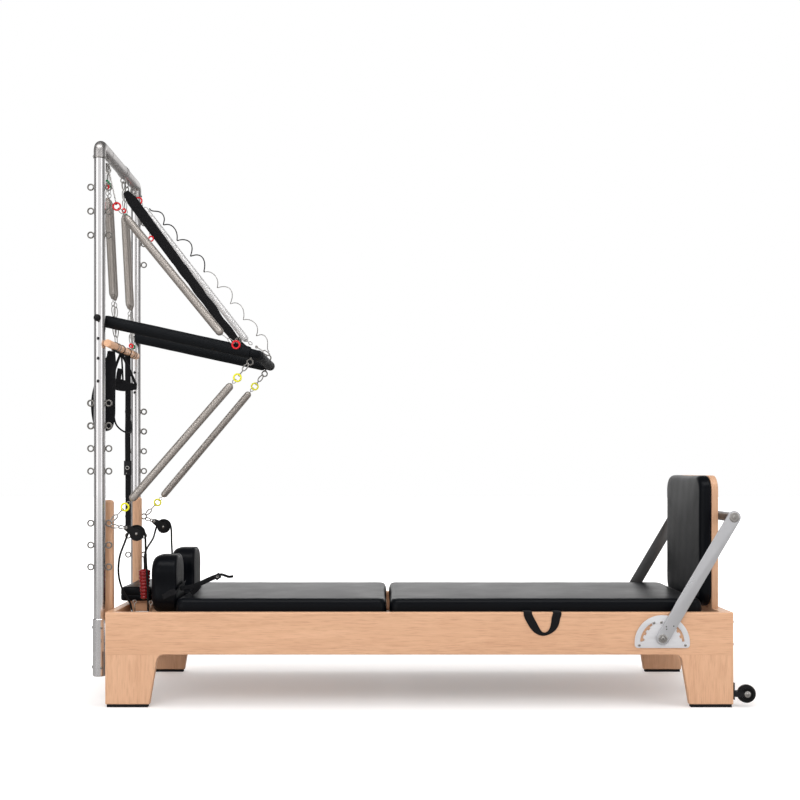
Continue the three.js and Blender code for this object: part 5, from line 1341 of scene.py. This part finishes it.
def capsule(a, b, ra, rb, steps):
    # outline round two circles of their own radii, counter-clockwise
    a, b = np.asarray(a, float), np.asarray(b, float)
    base = math.atan2(b[1] - a[1], b[0] - a[0])
    shift = math.asin((ra - rb) / np.linalg.norm(b - a))
    t1 = np.linspace(base + np.pi / 2 - shift, base + 1.5 * np.pi + shift, steps)
    t2 = np.linspace(base - np.pi / 2 + shift, base + np.pi / 2 - shift, steps)
    return np.vstack([a + ra * around(t1), b + rb * around(t2)])


def arcSlot(centre, radius, width, start, stop):
    # a curved slot whose inner edge carries three square latch notches
    outer = np.radians(np.linspace(start, stop, 26))
    inner = np.radians(np.linspace(stop, start, 60))
    wave = (np.sin(np.linspace(0, 3 * 2 * np.pi, 60)) > 0.15) & (np.abs(np.linspace(-1, 1, 60)) < 0.92)
    innerRadius = radius - width / 2 - 0.006 * wave
    return np.vstack([around(outer) * (radius + width / 2), around(inner) * innerRadius[:, None]]) + centre


pivot = np.array(foot["pivot"])
crown = pivot + foot["length"] * np.array([math.cos(foot["lean"]), math.sin(foot["lean"])])
armDir = unit(crown - pivot)
armSide = np.array([-armDir[1], armDir[0]])
parts, shiny, darkBits = [], [], []
for sign in (-1, 1):
    y0, y1 = sorted((sign * foot["in"], sign * foot["out"]))
    parts.append(flatPlate("arm", capsule(pivot, crown, 0.025, 0.025, 28), y0, y1, ease=0.0016))
    out = sign * foot["out"]
    centre3 = lambda p, y: (p[0], y, p[1])
    collar = [(0.0, -0.0005), (0.0165, -0.0005), (0.0172, 0.0004), (0.0172, 0.0014), (0.016, 0.0022),
              (0.0118, 0.0022), (0.0112, 0.0012), (0.0, 0.0012)]
    shiny.append(revolve("collar", collar, centre3(pivot, out), (0, sign, 0), 36))
    shiny.append(roundBolt("bolt", centre3(pivot, out + sign * 0.001), (0, sign, 0), 0.0088, 0.0028))
    cap = [(0.0, -0.0005), (0.0185, -0.0005), (0.0192, 0.0004), (0.0192, 0.0012), (0.018, 0.002),
           (0.014, 0.002), (0.0134, 0.0012), (0.0, 0.0012)]
    shiny.append(revolve("cap", cap, centre3(crown, out), (0, sign, 0), 36))
    shiny.append(roundBolt("bolt", centre3(crown, out + sign * 0.001), (0, sign, 0), 0.0078, 0.003))
    # painted shade: three small holes in each arm are not cut; a black disc stands for the shade inside each
    # one
    for along, across in ((0.038, 0.006), (0.062, -0.011), (0.046, 0.012)):
        spot = pivot + armDir * along + armSide * across
        dot = [(0.0, -0.0003), (0.0024, -0.0003), (0.0024, 0.0005), (0.0018, 0.0003), (0.0, 0.0003)]
        darkBits.append(revolve("dot", dot, centre3(spot, out), (0, sign, 0), 14))
    pin = [centre3(pivot, sign * 0.3526), centre3(pivot, sign * 0.3757)]
    parts.append(tube("pin", pin, 0.0079, 20))
cross = [(crown[0], -0.3755, crown[1]), (crown[0], 0.3755, crown[1])]
parts.append(tube("crossTube", resample(cross, 12), 0.018, 36))
footbarPiece = pieceOf("footbar", "armMetal", "footbar", "aluminium", parts, ("footbar",), 30)
# painted shade: the far arm and the tube get a darker copy of the arm metal, for the shade of the board that
# they lie in
footbarPiece.data.materials.append(look["armPaintedShade"])
centres = np.empty(len(footbarPiece.data.polygons) * 3, np.float32)
footbarPiece.data.polygons.foreach_get("center", centres)
shaded = (centres[1::3] > -0.366).astype(np.int32)
footbarPiece.data.polygons.foreach_set("material_index", shaded)
pieceOf("footbarBolts", "brightMetal", "footbar", "aluminium", shiny)
pieceOf("footbarHoleShades", "blackSteel", "footbar", "black_steel", darkBits)

# gear plates: a D whose slots show the wood behind
centre = np.array([0.926, 0.248])
for side, sign in sides:
    y0, y1 = sorted((sign * 0.3678, sign * 0.3738))
    arc = np.radians(np.linspace(0, 180, 50))
    dome = centre + 0.105 * around(arc)
    q = np.radians(np.linspace(180, 270, 8))
    outline = np.vstack([dome, centre + (-0.093, -0.008) + 0.012 * around(q),
                         centre + (0.093, -0.008) + 0.012 * around(q + np.pi / 2)])
    slots = [arcSlot(centre, 0.08, 0.0095, 3, 61), arcSlot(centre, 0.08, 0.0095, 119, 177)]
    ring = np.radians(np.linspace(0, 360, 28, endpoint=False))
    slots.append(pivot + 0.0083 * around(ring))
    plate = flatPlate("gearPlate" + side.title(), outline, y0, y1, 0.0006, slots)
    pieceOf("gearPlate" + side.title(), "gearMetal", "frame", "aluminium", [plate], ("gear_plate_" + side,),
            30)
    screws = []
    for dx, dz, size in ((-0.088, -0.0095, 0.0056), (0.088, -0.0095, 0.0056), (-0.032, 0.0755, 0.0058),
                         (-0.0036, 0.0775, 0.0058)):
        screws.append(roundBolt("screw", (centre[0] + dx, sign * 0.3736, centre[1] + dz), (0, sign, 0), size,
                                0.0022))
    pieceOf("gearScrews" + side.title(), "brightMetal", "frame", "aluminium", screws)
print("footbar built")


# Posts: round-edged rails with domed tops, standing on the outside of the head board
def postRings(low, high, halfX, halfY, corner):
    # the section shrinks by a quarter circle over the last centimetre at the top and a small ease at the foot
    ease = np.linspace(0, np.pi / 2, 7)
    levels = np.concatenate([[low, low + 0.001], [low + 0.002, (low + high) / 2],
                             high - 0.012 + 0.012 * np.sin(ease), [high]])
    inset = np.concatenate([[0.0015, 0.0004], [0, 0], 0.012 * (1 - np.cos(ease)), [0.0125]])
    return stacked([(outlineOf(halfX - i, halfY - i, corner, 0.0, 80), z) for z, i in zip(levels, inset)])


for side, sign in sides:
    rings = postRings(0.214, 0.789, 0.019, 0.02, 0.013) + np.array([-1.2193, sign * 0.2375, 0])
    post = closedSkin("post" + side.title(), rings)
    pieceOf("post" + side.title(), "uprightWood", "frame", "maple", [post], ("post_" + side,), 40)


# Pulleys: a grooved sheave between two cheeks, hung by a link from the lower eye
for side, sign in sides:
    y = sign * 0.25
    x0, z0 = ropeSize["sheaveX"], ropeSize["sheaveZ"]
    tailX, tailZ = -1.146, 0.68
    groove = bothWays([(0.0, -0.006), (0.009, -0.006), (0.0095, -0.0046), (0.0235, -0.0046), (0.0245, -0.006),
                       (0.0272, -0.006), (0.028, -0.0052), (0.0268, -0.0036), (0.0232, -0.0014),
                       (0.0225, 0.0)])
    wheel = revolve("sheave", groove, (x0, y, z0), (0, 1, 0), 56)
    pieceOf("pulleyWheel" + side.title(), "wheelRubber", "sheave_" + side, "black_rubber", [wheel],
            ("pulley_wheel_" + side,), 30)
    parts = []
    for way in (-1, 1):
        ya, yb = sorted((y + way * 0.007, y + way * 0.0095))
        parts.append(flatPlate("cheek", capsule((x0, z0), (tailX, tailZ), 0.0185, 0.0105, 18), ya, yb,
                               ease=0.0006))
    parts.append(tube("hub", [(x0, y - 0.008, z0), (x0, y + 0.008, z0)], 0.0039, 16))
    parts.append(tube("spacer", [(tailX, y - 0.008, tailZ), (tailX, y + 0.008, tailZ)], 0.006, 16))
    pieceOf("pulleyCheeks" + side.title(), "wheelRubber", "frame", "black_steel", parts,
            ("pulley_block_" + side,), 30)
    eyeEdge = np.array([-1.1935, sign * 0.2965, 0.6893])
    pinned = np.array([tailX, y + sign * 0.0085, tailZ])
    mid = eyeEdge + (pinned - eyeEdge) * 0.5
    link = [carabiner("snap", eyeEdge + (eyeEdge - pinned) * 0.12, mid + (pinned - eyeEdge) * 0.06, 0.0023,
                      0.0066),
            carabiner("snap", mid - (pinned - eyeEdge) * 0.06, pinned + (eyeEdge - pinned) * 0.06, 0.0022,
                      0.006)]
    for spot, size in (((x0, z0), 0.0052), ((tailX, tailZ), 0.0062)):
        for way in (-1, 1):
            link.append(roundBolt("bolt", (spot[0], y + way * 0.0094, spot[1]), (0, way, 0), size, 0.0026))
    pieceOf("pulleyLinks" + side.title(), "brightMetal", "frame", "spring_steel", link)
print("pulleys built")


# Hand grip: nine soft ribs on a tapered core under a domed cap, strung on the far rope
z = np.linspace(0, 0.118, 150)
taper = np.interp(z, [0, 0.004, 0.1, 0.118], [0.0135, 0.0152, 0.0222, 0.0236])
ribs = 0.0042 * np.abs(np.sin(z / 0.118 * np.pi * 9)) ** 0.5 - 0.0034
cap = np.sqrt(np.clip(1 - np.clip((z - 0.108) / 0.0102, 0, 1) ** 2, 0, 1))
size = (taper + ribs * (z < 0.106)) * (0.22 + 0.78 * cap) * np.clip(0.7 + z / 0.01, 0, 1)
profile = [(0.0, 0.0), *zip(size, z), (0.0, 0.118)]
grip = revolve("handGrip", profile, (-1.083, -0.2175, 0.396), (0, 0, 1), 36)
pieceOf("handGrip", "redGrip", "frame", "red_grip", [grip], ("hand_grip",), 60)
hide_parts("rope_near")
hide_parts("rope_far")

# ferrules where the ropes meet the carriage, and the hooks that lie beside the rests
parts = []
for x, y in ((-1.135, -0.215), (-1.062, -0.25), (-1.062, 0.25)):
    parts.append(revolve("ferrule",
                         [(0.0, 0.0), (0.009, 0.0), (0.009, 0.0016), (0.0062, 0.003), (0.0055, 0.012),
                          (0.0048, 0.0135), (0.0, 0.0135)],
                         (x, y, 0.3397), (0, 0, 1), 20))
for x, y, z in ((-1.1115, -0.262, 0.388), (-1.045, -0.277, 0.3855)):
    parts.append(tube("hookPost", [(x, y, 0.3395), (x, y, z - 0.004)], 0.0024, 10))
    parts.append(ringOf("hookEye", (x, y, z + 0.003), (0, 1, 0), 0.0066, 0.0018, 24, 8))
parts.append(tube("hookRod",
                  smoothLine([(-1.105, -0.27, 0.352), (-1.08, -0.274, 0.3535), (-1.058, -0.274, 0.352)],
                             16), 0.0028, 10, ends="round"))
for x in (-1.105, -1.058):
    parts.append(tube("rodFoot", [(x, -0.271, 0.3395), (x, -0.271, 0.353)], 0.0024, 10))
pieceOf("carriageHooks", "brightMetal", "carriage", "spring_steel", parts)


# Transport wheels: a tyre with round shoulders on a pale hub
for side, sign in sides:
    at = (1.253, sign * 0.3525, 0.05)
    tyre = bothWays([(0.0, -0.0095), (0.0115, -0.0095), (0.0125, -0.0075), (0.0215, -0.0075), (0.023, -0.011),
                     (0.0305, -0.011), (0.0335, -0.0095), (0.0348, -0.006), (0.035, 0.0)])
    wheel = revolve("wheel", tyre, at, (0, 1, 0), 56)
    pieceOf("transportWheel" + side.title(), "wheelRubber", "roller_" + side, "black_rubber", [wheel],
            ("transport_wheel_" + side,), 32)
    hub = []
    for way in (-1, 1):
        spot = (at[0], at[1] + way * 0.0155, at[2])
        hub.append(revolve("nut", [(0.0, -0.001), (0.0112, -0.001), (0.012, 0.0), (0.012, 0.0016),
                                   (0.0105, 0.0026), (0.0, 0.0026)], spot, (0, way, 0), 24))
        hub.append(roundBolt("bolt", (spot[0], spot[1] + way * 0.0024, spot[2]), (0, way, 0), 0.0055, 0.0026))
    pieceOf("wheelHub" + side.title(), "brightMetal", "frame", "spring_steel", hub)

# button bolts on the foot end and the head end
parts = []
for y in (-0.3525, 0.3525):
    for z in (0.325, 0.24):
        parts.append(roundBolt("bolt", (1.2, y, z), (1, 0, 0), 0.0078, 0.0042))
        parts.append(roundBolt("bolt", (-1.2, y, z), (-1, 0, 0), 0.0078, 0.0042))
pieceOf("endBolts", "brightMetal", "frame", "aluminium", parts)


# Mat strap: sewn webbing out over the near rail, down its face in a loop and back
x0, span, band = 0.47, 0.142, 0.03
mid = span / 2 - band / 2
over = lambda x: [(x, -0.3215, 0.3636), (x, -0.345, 0.3642), (x, -0.3625, 0.3638)]
corner = lambda x: [(x, -0.3682, 0.3622), (x, -0.3694, 0.357)]
drop = np.array([(0.409, 0.347), (0.417, 0.332), (0.4295, 0.31), (0.441, 0.2945), (0.455, 0.2835),
                 (0.4715, 0.2805), (0.487, 0.287), (0.502, 0.303),
                 (0.51, 0.323), (0.5135, 0.343)])
low = np.column_stack([drop[:, 0] + 0.008, np.full(len(drop), -0.3693), drop[:, 1]])
line = np.vstack([over(x0 - mid), corner(x0 - mid), low, corner(x0 + mid)[::-1], over(x0 + mid)[::-1]])
line = smoothLine(line, 130)
# the face looks up over the rail, then out from the rail's side
outward = np.clip((-0.3655 - line[:, 1]) / 0.003, 0, 1)[:, None]
face = unit((1 - outward) * np.array([0, 0, 1.0]) + outward * np.array([0, -1.0, 0]))
# the hanging loop turns edge on at its foot
wide = 0.0325 - 0.021 * np.exp(-((np.linspace(0, 1, 130) - 0.53) / 0.12) ** 2)
strap = bandAlong("matStrap", line, face, wide, 0.0026)
pieceOf("matStrap", "webbing", "mat", "black_webbing", [strap], ("mat_strap",), 60)

# Rest strap: round the near shoulder rest's foot, over the cushion to a buckle and a loose tail
parts = []
wrap = [(-0.999, -0.279, 0.412), (-0.974, -0.2795, 0.424), (-0.9485, -0.2795, 0.4345),
        (-0.9435, -0.272, 0.4375), (-0.9425, -0.23, 0.441),
        (-0.9425, -0.15, 0.4455), (-0.9445, -0.108, 0.4475)]
parts.append(smoothBand("wrap", wrap, (-0.7, -1, 0.2), 0.026, 0.0026, 60))
run = [(-0.9405, -0.225, 0.4385), (-0.915, -0.218, 0.4405), (-0.885, -0.212, 0.4475), (-0.85, -0.206, 0.4625),
       (-0.815, -0.2, 0.478), (-0.794, -0.198, 0.4852)]
parts.append(smoothBand("run", run, (0.1, -1, 0.15), 0.019, 0.0034, 50, 0.0006))
tail = [(-0.797, -0.1965, 0.4865), (-0.782, -0.196, 0.4905), (-0.768, -0.1955, 0.4865),
        (-0.752, -0.195, 0.4815), (-0.735, -0.1945, 0.4835)]
parts.append(smoothBand("tail", tail, (0.1, -1, 0.3), 0.0105, 0.0032, 30))
parts.append(smoothBand("stay", [(-0.9, -0.214, 0.4165), (-0.882, -0.212, 0.431), (-0.868, -0.2105, 0.4495)],
                        (0.4, -1, 0.1), 0.02, 0.0026, 16))
pieceOf("restStrap", "webbing", "carriage", "black_webbing", parts, (), 60)
parts = [smoothBand("plate", [(-0.806, -0.2008, 0.4765), (-0.796, -0.2, 0.4835), (-0.786, -0.1995, 0.4895)],
                    (0.1, -1, 0.15), 0.0225, 0.0046, 12)]
pieceOf("restBuckle", "blackSteel", "carriage", "black_steel", parts)
grommet = ringOf("grommet", (-0.797, -0.2038, 0.4832), (0.1, -1, 0.15), 0.0036, 0.0013, 20, 8)
pieceOf("restGrommet", "brightMetal", "carriage", "spring_steel", [grommet])


# Safety wire wound in open arcs along the far upper spring, black at the top and bare below
top = np.array([-1.176, 0.2425, 2.048])
wireFoot = onBar(0.59, 0.25, 0.054)
s = np.linspace(0, 1, 420)
way = unit(wireFoot - top)
outside = unit(np.cross((0, 1.0, 0), way))
if outside[2] < 0:
    outside = -outside
turns = 9
# loops bulge on the outer side of the spring: along the line by a sine, out from it by a raised cosine
swing = 2 * np.pi * turns * s
fade = np.clip(np.minimum(s, 1 - s) * 12, 0, 1)
bulge = 0.0165 * (1 - np.cos(swing)) * (1 + 0.22 * np.sin(swing * 0.37 + 1.0))
bowed = 0.006 * np.sin(s * np.pi)  # the line follows the spring, which lies a little above the straight way
wire = (top + (wireFoot - top) * s[:, None] + outside * (bulge * fade + bowed + 0.012)[:, None]
        - way * (0.013 * np.sin(swing)
                 * fade)[:, None] + np.array([0, 1.0, 0]) * (0.012 * np.sin(swing + 0.7) * fade)[:, None])
wires = (("safetyWireDark", wire[:190], 0.0026, "blackSteel", "black_steel"),
         ("safetyWire", wire[188:], 0.0018, "brightMetal", "spring_steel"))
for name, part, thick, paint, slot in wires:
    piece = tube(name, part, thick, 8, ends="round")
    closeUp(piece, weld)
    stretchPiece(piece, paint, slot, ("frame", "push_bar"), top.tolist(), wireFoot.tolist())
print("small parts built")


# Floor, soft boxes and a white studio that only the camera and the mirrors see
floorPiece = linkMesh("studioFloor", [(-14, -7, 0), (14, -7, 0), (14, 30, 0), (-14, 30, 0)], [(0, 1, 2, 3)],
                      smooth=False)
floorMaterial, floorTree, floorShader = newMaterial("studioFloor")
floorAt = put(floorTree, "ShaderNodeTexCoord").outputs["Object"]
# mirrors see a darker floor than the camera does
floorRays = put(floorTree, "ShaderNodeLightPath").outputs
floorTree.links.new(mixed(floorTree, floorRays["Is Glossy Ray"], (0.86, 0.85, 0.85, 1),
                          (0.34, 0.335, 0.33, 1)), floorShader.inputs["Base Color"])
floorShader.inputs["Roughness"].default_value = 0.75
# painted light: for the camera the floor also glows, weakly near the object and more with distance, so that
# it fades to white and the shadow under the bed is lightened
far = put(floorTree, "ShaderNodeVectorMath", {0: floorAt}, operation="LENGTH").outputs["Value"]
glow = spread(floorTree, far, 1.4, 4.0, 0.22, 0.9)
floorTree.links.new(times(floorTree, glow, floorRays["Is Camera Ray"]),
                    floorShader.inputs["Emission Strength"])
floorShader.inputs["Emission Color"].default_value = (1, 1, 1, 1)
floorPiece.data.materials.append(floorMaterial)


def softBox(name, place, aim, size, power):
    data = bpy.data.lights.new(name, "AREA")
    data.shape = "RECTANGLE"
    data.size, data.size_y = size
    data.energy = power
    lamp = placed(name, data)
    lamp.visible_glossy = False
    lamp.location = place
    lamp.rotation_euler = (Vector(aim) - Vector(place)).to_track_quat("-Z", "Y").to_euler()
    return lamp


softBox("keyBox", (-1.6, -3.6, 3.4), (0, 0, 0.5), (3.0, 2.2), 72)
softBox("topBox", (0.4, 0.3, 4.4), (0.2, 0, 0), (5.5, 3.0), 104)
softBox("footBox", (3.6, -1.6, 1.8), (0.6, 0, 0.6), (1.6, 2.2), 32)
softBox("headBox", (-4.2, -0.8, 1.8), (-1.0, 0, 1.0), (1.4, 2.6), 34)

world = bpy.data.worlds.new("studioWorld")
bpy.context.scene.world = world
world.use_nodes = True
worldTree = world.node_tree
worldTree.nodes.clear()
rays = put(worldTree, "ShaderNodeLightPath").outputs
seen = calc(worldTree, "ADD", rays["Is Camera Ray"], rays["Is Transmission Ray"], True)
direction = put(worldTree, "ShaderNodeTexCoord").outputs["Generated"]
split = put(worldTree, "ShaderNodeSeparateXYZ", {0: direction}).outputs
# in the mirrors the studio is two bright banners left and right of the camera, with dark walls beyond them
aroundCamera = calc(worldTree, "ADD",
                    calc(worldTree, "DIVIDE",
                         calc(worldTree, "ARCTAN2", split[0], times(worldTree, split[1], -1.0)),
                                     2 * math.pi), 0.5)
walls = put(worldTree, "ShaderNodeValToRGB", {0: aroundCamera})
stops = ((0.0, 1.5), (0.05, 1.25), (0.12, 0.7), (0.2, 0.24), (0.32, 0.24), (0.36, 1.7), (0.42, 1.6),
         (0.455, 0.9), (0.5, 0.86), (0.555, 0.95), (0.59, 0.6),
         (0.622, 1.6), (0.66, 1.7), (0.69, 0.3), (0.8, 0.22), (0.88, 0.7), (0.95, 1.25), (1.0, 1.5))
while len(walls.color_ramp.elements) < len(stops):
    walls.color_ramp.elements.new(0.5)
for stop, (place, shade) in zip(walls.color_ramp.elements, stops):
    stop.position = place
    stop.color = (shade, shade, shade, 1)
above = spread(worldTree, split[2], 0.3, 0.6, 0.0, 1.0)
# overhead it is dark but for one long box in front of the object
box = times(worldTree, spread(worldTree, split[2], 0.68, 0.76, 0.0, 1.0),
            spread(worldTree, split[2], 0.93, 0.87, 0.0, 1.0))
box = times(worldTree, box, spread(worldTree, split[1], -0.2, -0.34, 0.0, 1.0))
mirror = calc(worldTree, "ADD", times(worldTree, walls.outputs[0], calc(worldTree, "SUBTRACT", 1.0, above)),
              times(worldTree, above, calc(worldTree, "ADD", times(worldTree, box, 4.5), 0.16)))
soft = calc(worldTree, "ADD",
            times(worldTree, rays["Is Glossy Ray"], calc(worldTree, "SUBTRACT", mirror, 0.7)), 0.7)
light = put(worldTree, "ShaderNodeBackground", {0: (1, 0.995, 0.99, 1), 1: soft}).outputs[0]
white = put(worldTree, "ShaderNodeBackground", {0: (1, 1, 1, 1), 1: 1.0}).outputs[0]
shown = put(worldTree, "ShaderNodeMixShader", {0: seen, 1: light, 2: white}).outputs[0]
put(worldTree, "ShaderNodeOutputWorld", {0: shown})
bpy.context.scene.view_settings.view_transform = "Standard"
print("studio set")
